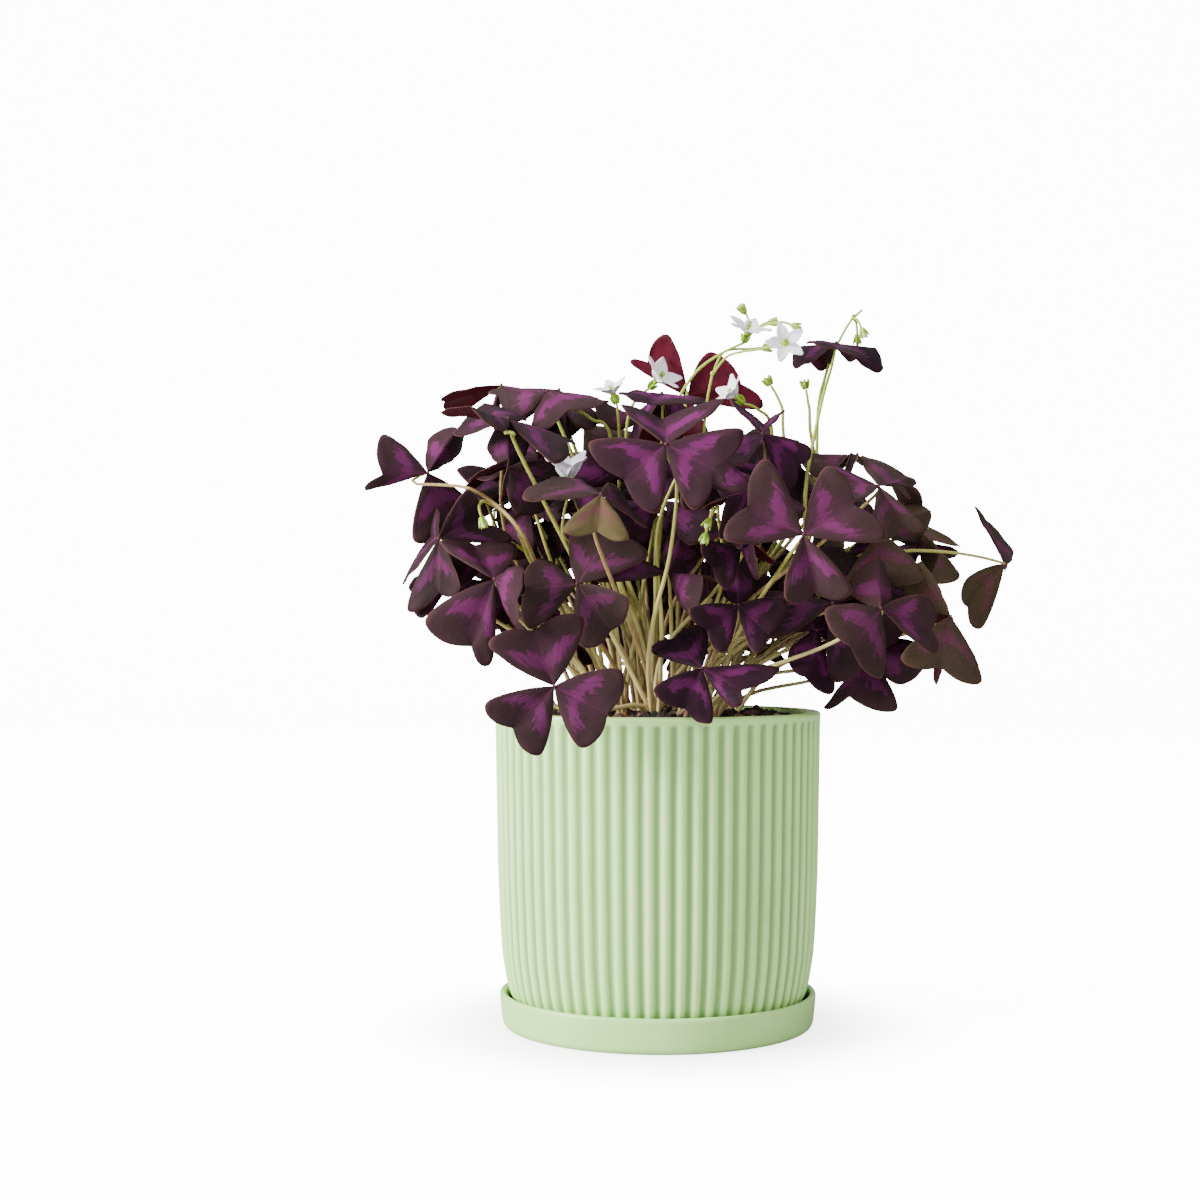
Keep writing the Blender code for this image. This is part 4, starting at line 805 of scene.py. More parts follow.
def flowers(obstacles, draw):
    """The flower stems, their solids, and the blooms with their places. Each bloom is added to
    the obstacles."""
    stems, solids, blooms = [], [], []
    carried = {bloom.stem: bloom for bloom in BLOOMS}
    for number, stem in enumerate(STEMS):
        bloom = carried.get(number)
        for stalk in stem_tries(stem, [end.stalk for end in stems], draw):
            if obstacles.gap(stalk.path, stalk.radii) < STALK_GAP:
                continue
            heading = unit(stalk.path[-1] - stalk.path[-2])
            if bloom:
                heading = unit(np.array(bloom.axis))
            end = end_solid(stalk, stem.end, heading)
            if tree_of(*end).overlap(obstacles.tree):
                continue
            if not bloom:
                break
            star = bloom_star(bloom, stalk)
            thick = tree_of(*star.solid(CLEARANCE, BLADE + CLEARANCE))
            others = [tree_of(*solid) for solid in solids]
            if not thick.overlap(obstacles.tree) and not any(map(thick.overlap, others)):
                blooms.append((bloom, star))
                obstacles.add(star.solid())
                break
        else:
            raise RuntimeError(f"stem {number} finds no way")
        stems.append(StemEnd(stalk, stem.end, heading))
        solids += [tube_solid(*stalk, STALK_SIDES), end]
    return stems, solids, blooms


def petioles(leaves, first, obstacles, draw):
    """The stalks of leaves that stand among the obstacles from number first on."""
    stalks = []
    for own, leaf in enumerate(leaves, first):
        tries = petiole_tries(leaf, SEEN_STALKS.get(own, ()), draw)
        stalks.append(clearest(tries, obstacles, own))
    return stalks


def node_solid(name):
    """Points and faces of a solid in the frame."""
    mesh = frame["nodes"][name].data
    points = [vertex.co.copy() for vertex in mesh.vertices]
    return points, [tuple(polygon.vertices) for polygon in mesh.polygons]


def spray_leaves(name):
    """The leaves of a spray of touching leaves, found from its solid's points.

    A hub and a notch give a rule leaflet's side and heading. Its corners lie a fixed way along
    that heading and a fixed reach from the hub, and each has two more margin points of the flat
    outline beside it. A leaf of which two leaflets are found gets a third between them, hanging
    down.
    """
    points = np.unique(np.round(np.array(node_solid(name)[0]), 6), axis=0)
    margin = [spot for spot in LEAFLET.margin if spot != CORNER]
    found = []
    for hub in points:
        ways = points - hub
        far = np.linalg.norm(ways, axis=1)
        lobes = []
        for way in ways[(far > RIB_LEAST) & (far < RIB_MOST)]:
            side = np.linalg.norm(way) / LEAFLET.tip
            run = ways @ way / (side * LEAFLET.tip)
            near = np.abs(run - side * math.cos(CORNER_ANGLE)) < LOOSE
            near &= np.abs(far - side * RULE_CORNER) < LOOSE
            corners = []
            for corner in ways[near]:
                marks = [corner * across / CORNER[1]
                         + way * (along - CORNER[0] * across / CORNER[1]) / LEAFLET.tip
                         for along, across in margin]
                misses = [np.linalg.norm(ways - mark, axis=1).min() for mark in marks]
                if min(misses) < LOOSE and all(np.linalg.norm(corner - c) > MM for c in corners):
                    corners.append(corner)
            if len(corners) != 2:
                continue
            first, last = corners
            if np.cross(first, last) @ (hub - CLUMP_CENTRE + BELOW) < 0:
                first, last = last, first
            if all(np.linalg.norm(way - tip) > MM for _, tip, _ in lobes):
                lobes.append((first, way, last))
        if len(lobes) >= 2:
            found.append((hub, lobes))
    found.sort(key=lambda entry: -len(entry[1]))
    leaves = []
    for hub, lobes in found:
        if all(np.linalg.norm(hub - leaf.hub) > SAME_HUB for leaf in leaves):
            if len(lobes) == 2:
                upper = unit(sum(np.cross(first, last) for first, _, last in lobes))
                side = np.linalg.norm(lobes[0][1]) / LEAFLET.tip
                away = unit(-lobes[0][1] - lobes[1][1]) - HIDDEN_DROOP * upper
                lobes.append(open_leaflet(away, upper, side))
            leaves.append(placed(hub, lobes, LEAFLET))
    return leaves


# Fine shapes


def curve_through(knots, count):
    """count points evenly spread by knot number on a Catmull-Rom curve through the knots."""
    knots = np.array(knots, float)
    frame = np.vstack((2 * knots[0] - knots[1], knots, 2 * knots[-1] - knots[-2]))
    place = np.linspace(0, len(knots) - 1, count)
    span = np.minimum(place.astype(int), len(knots) - 2)
    t = (place - span).reshape((-1,) + (1,) * (knots.ndim - 1))
    return catmull_rom(*(frame[span + step] for step in range(4)), t)


def grid_quads(rows, columns, wrap=False):
    """Quads of a grid of points numbered row by row, wrapped round its columns or not."""
    across = columns if wrap else columns - 1
    row, column = np.meshgrid(np.arange(rows - 1), np.arange(across), indexing="ij")
    right = (column + 1) % columns
    return np.stack(
        (row * columns + column, row * columns + right, (row + 1) * columns + right,
         (row + 1) * columns + column), axis=-1).reshape(-1, 4)


def grid_normals(points):
    """Unit normals of a grid of points: the cross product of its differences along rows and
    along columns."""
    down = np.gradient(points, axis=0)
    across = np.gradient(points, axis=1)
    normals = np.cross(down, across)
    length = np.linalg.norm(normals, axis=-1, keepdims=True)
    return normals / np.maximum(length, 1e-12)


def grid_slab(points, thickness):
    """A closed sheet: the grid, the grid moved back by the thickness along its normals, and a
    strip of quads round its edge. Gives the points, the quads and how many quads face up."""
    rows, columns = points.shape[:2]
    normals = grid_normals(points)
    both = np.vstack((points.reshape(-1, 3), (points - normals * thickness).reshape(-1, 3)))
    front = grid_quads(rows, columns)
    number = np.arange(rows * columns).reshape(rows, columns)
    edge = np.concatenate((number[0, :-1], number[:-1, -1], number[-1, :0:-1], number[:0:-1, 0]))
    after = np.roll(edge, -1)
    size = rows * columns
    strip = np.stack((after, edge, edge + size, after + size), axis=-1)
    return both, np.vstack((front[:, ::-1], front + size, strip[:, ::-1])), len(front)


class Build:
    """Gathers points, faces, a material number for each face and named values for each point,
    and makes one mesh object of them."""

    def __init__(self, values=()):
        self.points, self.faces, self.slots = [], [], []
        self.values = {name: [] for name in values}
        self.count = 0

    def add(self, points, faces, slot=0, **values):
        points = np.asarray(points, float).reshape(-1, 3)
        self.points.append(points)
        for part in faces:
            self.faces.append(part + self.count)
        count = sum(map(len, faces))
        self.slots.append(np.full(count, slot) if np.isscalar(slot) else slot)
        for name, held in self.values.items():
            held.append(np.broadcast_to(np.asarray(values.get(name, 0.0), float), len(points)))
        self.count += len(points)

    def make(self, name, materials):
        points = np.vstack(self.points)
        loops = np.concatenate([faces.ravel() for faces in self.faces]).astype(np.int32)
        totals = np.concatenate([np.full(len(f), f.shape[1]) for f in self.faces])
        mesh = bpy.data.meshes.new(name)
        mesh.vertices.add(len(points))
        mesh.vertices.foreach_set("co", points.ravel())
        mesh.loops.add(len(loops))
        mesh.loops.foreach_set("vertex_index", loops)
        mesh.polygons.add(len(totals))
        starts = np.concatenate(([0], np.cumsum(totals)[:-1])).astype(np.int32)
        mesh.polygons.foreach_set("loop_start", starts)
        mesh.polygons.foreach_set("loop_total", totals.astype(np.int32))
        mesh.polygons.foreach_set("material_index", np.concatenate(self.slots).astype(np.int32))
        mesh.polygons.foreach_set("use_smooth", np.full(len(totals), True))
        for value, held in self.values.items():
            layer = mesh.attributes.new(value, "FLOAT", "POINT")
            layer.data.foreach_set("value", np.concatenate(held))
        mesh.update(calc_edges=True)
        mesh.validate()
        for material in materials:
            mesh.materials.append(material)
        piece = bpy.data.objects.new(name, mesh)
        bpy.context.scene.collection.objects.link(piece)
        return piece


# A leaflet's margin from the hub round a corner to the notch, in side lengths along and across
# its midrib
MARGIN = (
    (0.015, 0.02), (0.15, 0.19), (0.30, 0.345), (0.45, 0.475), (0.60, 0.58), (0.72, 0.635),
    (0.80, 0.63), (0.87, 0.55), (0.915, 0.42), (0.925, 0.28), (0.90, 0.15), (0.865, 0.05),
    (0.848, 0.004),
)
# The place along the midrib that faces a part of the margin's run
RIB_PLACES = ((0.0, 0.02), (0.42, 0.36), (0.65, 0.66), (0.86, 0.78), (1.0, 0.845))
LEAF_ROWS = 26
LEAF_COLUMNS = 7
LEAF_THICKNESS = 0.32 * MM


def leaflet_grid(lobe, draw, ripple):
    """Points and flat places of one leaflet.

    Rows run from the hub to the notch and columns from the right margin over the midrib to the
    left one. A flat place (x along, y across) lies at tip (x - y k) / tip length + corner y / c,
    where (k c, c) is the flat corner. On each half a swell of sin(pi w) lifts the middle, w being
    the way from midrib to margin, and a ripple of w^2 times two sines along the margin waves it.
    Both fade as sin(pi r) at the run r from hub to notch, and a fold of 0.012 exp(-(w / 0.12)^2)
    sinks the midrib.
    """
    first, tip, last = lobe
    side = np.linalg.norm(tip) / LEAFLET.tip
    margin = curve_through(MARGIN, LEAF_ROWS)
    runs = np.concatenate(([0], np.cumsum(np.linalg.norm(np.diff(margin, axis=0), axis=1))))
    runs /= runs[-1]
    rib = np.interp(runs, *zip(*RIB_PLACES))
    way = np.linspace(0, 1, LEAF_COLUMNS + 1) ** 0.9
    slope = CORNER[0] / CORNER[1]
    halves = []
    for corner, turn in ((first, 1), (last, -1)):
        along = rib[:, None] + (margin[:, 0] - rib)[:, None] * way
        across = margin[:, 1][:, None] * way
        flat = tip * ((along - across * slope) / LEAFLET.tip)[..., None]
        flat = flat + corner * (across / CORNER[1])[..., None]
        upper = unit(np.cross(corner, tip)) * turn
        phase = draw.uniform(0, math.tau), draw.uniform(0, math.tau)
        wave = np.sin(runs * 17 + phase[0]) + 0.7 * np.sin(runs * 31 + phase[1])
        swell = draw.uniform(0.02, 0.045) * np.sin(math.pi * way) * np.sin(math.pi * runs)[:, None]
        fold = -0.012 * np.exp(-((way / 0.12) ** 2)) * np.ones_like(swell)
        lift = swell + fold + ripple * way**2 * wave[:, None] * np.sin(math.pi * runs)[:, None]
        points = flat + upper * (lift * side)[..., None]
        halves.append((points, along, across * turn, np.broadcast_to(way, along.shape)))
    return [np.concatenate((right[:, ::-1], left[:, 1:]), axis=1) for right, left in zip(*halves)]


LEAF_VALUES = ("along", "across", "way", "shade", "olive")


def add_leaf(build, hub, lobes, draw, ripple, olive, shade):
    """A trefoil: three leaflets and a small round joint at the hub. shade differs from leaf to
    leaf and olive turns a leaflet brown-green."""
    for lobe, brown in zip(lobes, olive):
        points, along, across, way = leaflet_grid(lobe, draw, ripple)
        both, faces, front = grid_slab(points + hub, LEAF_THICKNESS)
        slots = np.ones(len(faces))
        slots[:front] = 0
        slots[2 * front:] = 0
        build.add(both, [faces], slots, along=np.tile(along.ravel(), 2),
                  across=np.tile(across.ravel(), 2), way=np.tile(way.ravel(), 2),
                  shade=shade + draw.uniform(-0.1, 0.1), olive=brown)
    upper = unit(sum(np.cross(first, last) for first, _, last in lobes))
    add_ball(build, hub + upper * 0.1 * MM, 0.8 * MM, 0, 5, 8, shade=shade, olive=0.6)


def add_skin(build, rings, slot=0, **values):
    """A closed skin over rings of points that turn anticlockwise about the way they follow: quads
    from ring to ring, and both ends closed by a fan round their middle."""
    rows, columns = rings.shape[:2]
    points = np.vstack((rings.reshape(-1, 3), rings[0].mean(0), rings[-1].mean(0)))
    ring = np.arange(columns)
    after = np.roll(ring, -1)
    last = (rows - 1) * columns
    foot = np.stack((after, ring, np.full(columns, rows * columns)), axis=-1)
    head = np.stack((ring + last, after + last, np.full(columns, rows * columns + 1)), axis=-1)
    build.add(points, [grid_quads(rows, columns, wrap=True), foot, head], slot, **values)


def swept(radius, height, sides):
    """Rings round the upright axis, one for each radius and height."""
    turn = np.linspace(0, math.tau, sides, endpoint=False)
    radius = np.asarray(radius)[:, None] * np.ones(sides)
    height = np.asarray(height)[:, None] * np.ones(sides)
    return np.stack((radius * np.cos(turn), radius * np.sin(turn), height), axis=-1)


def add_ball(build, centre, radius, slot=0, rings=6, sides=8, stretch=1.0, axis=(0, 0, 1), flat=1.0,
             lumps=0.0, **values):
    """A closed ball from rings of equal latitude steps, stretched along its axis and flattened
    across it. lumps makes it uneven: sines of its three coordinates push its points in and out
    by up to a quarter."""
    axis = unit(np.asarray(axis, float))
    side = unit(np.cross(axis, (0.31, 0.83, 0.12)))
    other = np.cross(axis, side)
    tilt = np.linspace(math.pi - 0.2, 0.2, rings)[:, None]
    turn = np.linspace(0, math.tau, sides, endpoint=False)[None, :]
    a, b, c = np.cos(tilt) + 0 * turn, np.sin(tilt) * np.cos(turn), np.sin(tilt) * np.sin(turn)
    if lumps:
        push = np.sin(2.7 * a + lumps) * np.sin(3.1 * b + 2 * lumps) + np.sin(2.9 * c + 3 * lumps)
        a, b, c = (value * (1 + 0.12 * push) for value in (a, b, c))
    points = (axis * (a * stretch)[..., None] + side * b[..., None] + other * (c * flat)[..., None])
    add_skin(build, centre + radius * points, slot, **values)


def add_tube(build, path, radii, sides=8, slot=0, **values):
    """A closed round tube: rings square to the path, each turned as little as may be from the one
    before."""
    path = np.asarray(path, float)
    tangents = np.gradient(path, axis=0)
    tangents /= np.linalg.norm(tangents, axis=1, keepdims=True)
    side = unit(np.cross(tangents[0], (0.3, 0.9, 0.1)))
    turn = np.linspace(0, math.tau, sides, endpoint=False)[:, None]
    rings = []
    for point, tangent, radius in zip(path, tangents, radii):
        side = unit(side - tangent * (side @ tangent))
        other = np.cross(tangent, side)
        rings.append(point + radius * (np.cos(turn) * side + np.sin(turn) * other))
    add_skin(build, np.array(rings), slot, **values)


# Materials


class Value:
    """A shader socket that Python's operators join into math nodes."""

    def __init__(self, shade, socket):
        self.shade, self.socket = shade, socket

    def math(self, operation, *others):
        return self.shade.node("Math", {"operation": operation}, {
            index: value for index, value in enumerate((self, *others))})

    def __add__(self, other):
        return self.math("ADD", other)

    def __sub__(self, other):
        return self.math("SUBTRACT", other)

    def __mul__(self, other):
        return self.math("MULTIPLY", other)

    def __truediv__(self, other):
        return self.math("DIVIDE", other)

    def __rsub__(self, other):
        return (self * -1.0).math("ADD", other)

    __radd__ = __add__

    def clipped(self):
        return self.math("MAXIMUM", 0.0).math("MINIMUM", 1.0)

    def step(self, low, high):
        """0 below low, 1 above high and a smooth rise between."""
        return self.shade.node("MapRange", {"interpolation_type": "SMOOTHSTEP"}, {
            "Value": self, "From Min": low, "From Max": high})


class Shade:
    """A material under construction, with short ways to its nodes."""

    def __init__(self, name, colour, roughness, specular=0.5):
        self.material = bpy.data.materials.new(name)
        self.material.use_nodes = True
        self.tree = self.material.node_tree
        self.shader = self.tree.nodes["Principled BSDF"]
        self.material.diffuse_color = (*colour, 1.0)
        self.put("Base Color", colour)
        self.put("Roughness", roughness)
        self.put("Specular IOR Level", specular)

    def node(self, kind, settings=None, values=None, out=0):
        made = self.tree.nodes.new("ShaderNode" + kind)
        for key, value in (settings or {}).items():
            setattr(made, key, value)
        for key, value in (values or {}).items():
            self.link(made.inputs[key], value)
        return Value(self, made.outputs[out])

    def link(self, target, value):
        if isinstance(value, Value):
            self.tree.links.new(value.socket, target)
        elif hasattr(value, "__len__") and target.type == "RGBA":
            target.default_value = (*value[:3], 1.0)
        else:
            target.default_value = value

    def put(self, name, value):
        self.link(self.shader.inputs[name], value)

    def place(self):
        """The place on the object, in metres."""
        return self.node("TexCoord", out=3)

    def scaled(self, place, scale):
        return self.node("Mapping", values={0: place, "Scale": scale})

    def value(self, name):
        """A value that the mesh holds for each point."""
        return self.node("Attribute", {"attribute_name": name}, out=2)

    def noise(self, place, scale, detail=4.0, roughness=0.55):
        return self.node("TexNoise", values={
            "Vector": place, "Scale": scale, "Detail": detail, "Roughness": roughness})

    def mix(self, first, second, part):
        return self.node("Mix", {"data_type": "RGBA"}, {0: part, 6: first, 7: second}, out=2)

    def vector(self, x, y, z):
        return self.node("CombineXYZ", values={0: x, 1: y, 2: z})

    def bump(self, height, strength, distance):
        """Tilts the surface's normal by a height; distance is how high 1 stands, in metres."""
        self.put("Normal", self.node("Bump", values={
            "Height": height, "Strength": strength, "Distance": distance}))


def leaf_upper():
    """Dark purple, browner towards a thin brown rim, with a feathered magenta boomerang on each
    leaflet: from a point on the midrib an arm runs towards either corner. Its ragged sides come
    from noise drawn out along rays from the hub."""
    shade = Shade("leaf_upper", (0.024, 0.009, 0.016), 0.55, 0.06)
    along, across, way = shade.value("along"), shade.value("across"), shade.value("way")
    tone, brown = shade.value("shade"), shade.value("olive")
    wide = across.math("ABSOLUTE")
    bearing, reach = across / (along + 0.12), along + wide * 0.5
    streak = shade.noise(shade.vector(reach * 2.6 + tone * 9.0, bearing * 13.0, tone * 7.0),
                         1.0, 5.0, 0.65) - 0.5
    patch = shade.noise(shade.vector(along + tone * 3.0, across, tone * 5.0), 5.0, 3.0) - 0.5
    arm = (wide - (along - 0.31) * 1.7 + patch * 0.35).math("ABSOLUTE") * 0.5
    thick = 0.13 - wide * 0.12 + patch * 0.22 + streak * 0.42
    arms = 1.0 - (arm / thick.math("MAXIMUM", 0.02)).step(0.55, 1.0)
    arms = arms * (1.0 - (wide + streak * 0.7).step(0.36, 0.50))
    arms = arms * (along - wide * 0.3 + streak * 0.2).step(0.12, 0.34)
    spine = 1.0 - ((wide + streak * 0.16) / (0.02 + along * 0.12)).step(0.1, 1.2)
    spine = spine * (1.0 - (along + streak * 0.4).step(0.40, 0.62)) * 0.6
    strength = 0.55 + tone * 0.50 + streak * 1.6
    blotch = (arms.math("MAXIMUM", spine) * strength).clipped()
    far = wide * 0.9 + (along - 0.45).math("ABSOLUTE") + streak * 0.5
    haze = (1.0 - far.step(0.15, 0.5)) * 0.25
    blotch = blotch.math("MAXIMUM", haze * tone)
    speck = shade.noise(shade.vector(along, across, tone * 5.0), 45.0, 4.0)
    cloud = (tone * 0.7 + patch + 0.1).clipped()
    dark = shade.mix((0.011, 0.0045, 0.009), (0.027, 0.008, 0.017), cloud)
    outer = (way.step(0.45, 1.0) * 0.6 + streak * 0.4).clipped()
    dark = shade.mix(dark, (0.029, 0.009, 0.017), outer)
    colour = shade.mix(dark, (0.100, 0.012, 0.075), blotch * (1.0 - brown * 0.8))
    olive = shade.mix((0.095, 0.072, 0.030), (0.13, 0.050, 0.045), blotch)
    colour = shade.mix(colour, olive, brown)
    rim = way.step(0.965, 0.985)
    colour = shade.mix(colour, (0.12, 0.045, 0.035), rim * 0.55)
    midrib = (1.0 - (wide / 0.010).step(0.3, 1.0)) * (1.0 - along.step(0.5, 0.84))
    colour = shade.mix(colour, (0.10, 0.030, 0.050), midrib * 0.4)
    colour = shade.mix(colour, (0.008, 0.004, 0.007), speck.step(0.56, 0.74) * 0.45)
    shade.put("Base Color", colour)
    shade.put("Roughness", 0.50 + speck * 0.2)
    ridge = ((along - wide) * 17.0).math("FRACT")
    ridge = (ridge - 0.5).math("ABSOLUTE").step(0.36, 0.5) * way.step(0.02, 0.2)
    shade.bump(streak * 0.5 + speck * 0.3 - ridge * 0.4 - midrib * 1.5, 0.35, 0.0006)
    return shade.material


def leaf_under():
    """Crimson underside, clouded and with darker veins: slanting ones at even steps from the
    midrib, and the midrib itself."""
    shade = Shade("leaf_under", (0.08, 0.0035, 0.014), 0.6, 0.10)
    along, across = shade.value("along"), shade.value("across")
    tone, brown = shade.value("shade"), shade.value("olive")
    wide = across.math("ABSOLUTE")
    patch = shade.noise(shade.vector(along + tone * 3.0, across, tone), 7.0)
    light = (patch + tone * 0.3).step(0.3, 0.85)
    colour = shade.mix((0.034, 0.0015, 0.007), (0.078, 0.0025, 0.013), light)
    colour = shade.mix(colour, (0.020, 0.004, 0.009), (1.0 - tone.step(0.2, 0.5)) * 0.5)
    side = (along * 0.75 - wide * 0.66) * 26.0
    ridge = (side.math("FRACT") - 0.5).math("ABSOLUTE").step(0.38, 0.5)
    midrib = 1.0 - (wide / 0.015).step(0.3, 1.0)
    colour = shade.mix(colour, (0.030, 0.002, 0.006), (ridge * 0.3 + midrib * 0.6).clipped())
    shade.put("Base Color", shade.mix(colour, (0.07, 0.042, 0.022), brown * 0.8))
    shade.bump(ridge + midrib * 2.0 + patch * 0.6, 0.3, 0.0005)
    return shade.material


def stalk_skin():
    """Pale cream low down, a darker olive through the clump's height that is partly painted shade,
    yellow-green above, some stalks reddish brown.
    """
    shade = Shade("stalk_skin", (0.55, 0.50, 0.24), 0.45)
    place = shade.place()
    height = shade.node("SeparateXYZ", values={0: place}, out=2)
    tone = shade.value("shade")
    streak = shade.noise(shade.scaled(place, (900.0, 900.0, 60.0)), 1.0)
    # Cream to a dark olive among the leaves: partly the stalks' own colour, partly painted shade
    colour = shade.mix((0.58, 0.47, 0.19), (0.33, 0.32, 0.05), height.step(0.15, 0.22))
    colour = shade.mix(colour, (0.33, 0.44, 0.035), height.step(0.24, 0.29))
    colour = shade.mix(colour, (0.24, 0.12, 0.045), tone.step(0.72, 0.9) * 0.8)
    colour = shade.mix(colour, (0.66, 0.58, 0.26), streak.step(0.4, 0.8) * 0.35)
    shade.put("Base Color", colour)
    shade.bump(streak, 0.2, 0.0003)
    return shade.material


def flower_green(name="flower_green"):
    """Fresh yellow-green of calyxes, buds and pods, browner in places."""
    shade = Shade(name, (0.38, 0.50, 0.05), 0.45)
    place = shade.place()
    spot = shade.noise(place, 420.0)
    colour = shade.mix((0.20, 0.38, 0.015), (0.38, 0.56, 0.05), spot.step(0.35, 0.7))
    shade.put("Base Color", shade.mix(colour, (0.42, 0.24, 0.10), spot.step(0.68, 0.8) * 0.6))
    shade.bump(spot, 0.25, 0.0004)
    return shade.material


def petal_skin(name="petal_skin"):
    """White with a lilac flush, fine lengthwise veins and a yellow-green throat."""
    shade = Shade(name, (0.82, 0.79, 0.90), 0.5)
    along, across = shade.value("along"), shade.value("across")
    vein = shade.noise(shade.vector(along * 2.0, across * 60.0, shade.value("shade")), 1.0, 3.0)
    flush = (along.step(0.35, 1.1) * 0.7 + vein - 0.5).clipped()
    colour = shade.mix((0.95, 0.93, 0.98), (0.78, 0.68, 0.96), flush)
    colour = shade.mix((0.62, 0.70, 0.22), colour, along.step(0.02, 0.30))
    shade.put("Base Color", colour)
    shade.bump(vein, 0.2, 0.0004)
    return shade.material


def mint_glaze(name):
    """Satin mint-green glaze, a little mottled and fine-pitted, darkened by painted shade in the
    flutes and by a painted shadow in the recess between the foot and the saucer."""
    shade = Shade(name, (0.47, 0.79, 0.25), 0.38)
    place = shade.place()
    groove, recess = shade.value("groove"), shade.value("recess")
    cloud = shade.noise(place, 28.0, 3.0)
    fine = shade.noise(place, 420.0, 4.0)
    pit = shade.noise(place, 1500.0, 2.0)
    colour = shade.mix((0.48, 0.82, 0.25), (0.54, 0.88, 0.30), cloud.step(0.3, 0.7))
    colour = shade.mix(colour, (0.36, 0.63, 0.19), fine.step(0.55, 0.8) * 0.3)
    # Painted shade: darker green in the pot's flutes, and the saucer's glaze darkened evenly
    colour = shade.mix(colour, (0.21, 0.39, 0.12), groove.step(0.15, 1.0))
    # Painted shadow: near black in the gap between the pot's foot and the saucer
    colour = shade.mix(colour, (0.045, 0.075, 0.035), recess)
    shade.put("Base Color", colour)
    shade.put("Roughness", 0.34 + fine * 0.16)
    shade.put("Coat Weight", 0.12 + cloud * 0.08)
    shade.bump(fine + pit * 0.6 + cloud * 2.0, 0.12, 0.0006)
    return shade.material


def earth():
    """Nearly black crumbly soil with paler bits."""
    shade = Shade("earth", (0.03, 0.02, 0.014), 0.95)
    place = shade.place()
    crumb = shade.noise(place, 320.0, 8.0, 0.7)
    bit = shade.node("TexVoronoi", values={"Vector": place, "Scale": 260.0})
    colour = shade.mix((0.010, 0.006, 0.004), (0.075, 0.045, 0.028), crumb.step(0.4, 0.75))
    shade.put("Base Color", shade.mix((0.16, 0.10, 0.06), colour, bit.step(0.08, 0.2)))
    shade.bump(crumb + bit * 0.5, 0.9, 0.002)
    return shade.material


def bark():
    """Brown fibrous bark and dry bulb scales."""
    shade = Shade("bark", (0.12, 0.06, 0.035), 0.85)
    fibre = shade.noise(shade.scaled(shade.place(), (900.0, 300.0, 300.0)), 1.0)
    light = (fibre * 0.7 + shade.value("shade") * 0.5).step(0.3, 0.9)
    shade.put("Base Color", shade.mix((0.055, 0.026, 0.016), (0.24, 0.13, 0.075), light))
    shade.bump(fibre, 0.6, 0.001)
    return shade.material


def studio_floor():
    """Matt white paper lit from behind, with a painted shadow that dims its glow close round the
    saucer and fades in a smooth rise from SHADE_START to SHADE_END: the eye sees its glow, and
    what stands on it is lit by its plain face alone."""
    shade = Shade("studio_floor", (0.5, 0.5, 0.5), 0.9)
    grain = shade.noise(shade.place(), 600.0)
    shade.put("Base Color", shade.mix((0.49, 0.49, 0.49), (0.51, 0.51, 0.51), grain))
    place = shade.scaled(shade.place(), (1.0, 1.0, 0.0))
    reach = shade.node("VectorMath", {"operation": "LENGTH"}, {0: place}, "Value")
    painted_shadow_dim = 1.0 - (1.0 - reach.step(SHADE_START, SHADE_END)) * SHADE_DEPTH
    glow = shade.node("Emission", values={"Color": shade.vector(painted_shadow_dim, painted_shadow_dim, painted_shadow_dim), "Strength": GLOW})
    lit = shade.node("BsdfDiffuse", values={"Color": (0.9, 0.9, 0.9)})
    seen = shade.node("AddShader", values={0: glow, 1: lit})
    sight = shade.node("LightPath")
    plain = Value(shade, shade.shader.outputs[0])
    both = shade.node("MixShader", values={0: sight, 1: plain, 2: seen})
    shade.link(shade.tree.nodes["Material Output"].inputs["Surface"], both)
    return shade.material


# Pieces

# Depth of the flutes on the wall, in millimetres
FLUTE = 1.55
# The pot in section: radius, height and depth of the flutes, in millimetres
POT_PROFILE = (
    (56.5, 6.4, 0), (58.0, 5.3, 0), (60.2, 5.4, 0), (61.6, 6.6, 0.1), (63.4, 8.8, 0.5),
    (65.4, 11.2, 1.0), (67.0, 13.4, 1.3), (68.5, 17.0, FLUTE), (69.6, 21.5, FLUTE),
    (70.7, 28.0, FLUTE), (71.6, 34.0, FLUTE), (72.3, 43.0, FLUTE), (73.0, 57.0, FLUTE),
    (73.6, 72.0, FLUTE), (74.0, 93.0, FLUTE), (74.4, 115.0, FLUTE), (74.7, 132.0, FLUTE),
    (74.8, 138.5, 1.35), (74.9, 140.6, 0.6), (75.0, 141.8, 0.1), (75.0, 143.0, 0),
    (74.6, 143.8, 0), (73.6, 144.2, 0), (72.4, 144.1, 0), (71.2, 143.4, 0), (70.6, 142.2, 0),
    (70.5, 138.0, 0), (70.3, 120.0, 0), (69.6, 70.0, 0), (66.0, 20.0, 0), (58.0, 11.2, 0),
    (6.0, 11.0, 0), (6.0, 8.0, 0), (54.0, 8.0, 0),
)
# The saucer in section: radius and height, in millimetres
SAUCER_PROFILE = (
    (1.0, 0.7), (63.5, 0.7), (65.0, 0.0), (68.2, 0.0), (70.0, 0.6), (71.0, 1.8), (71.5, 3.6),
    (72.0, 8.0), (72.4, 12.0), (72.6, 14.3), (72.4, 15.4), (71.6, 16.0), (70.5, 15.8), (69.8, 14.8),
    (69.3, 10.0), (68.9, 7.2), (67.6, 5.6), (65.0, 5.0), (40.0, 5.0), (1.0, 5.0),
)
# Below this height a painted shadow darkens the gap between the pot's foot and the saucer's wall
RECESS_SHADE_TOP = 15.0 * MM
RECESS_SHADE_FADE = 5.0 * MM
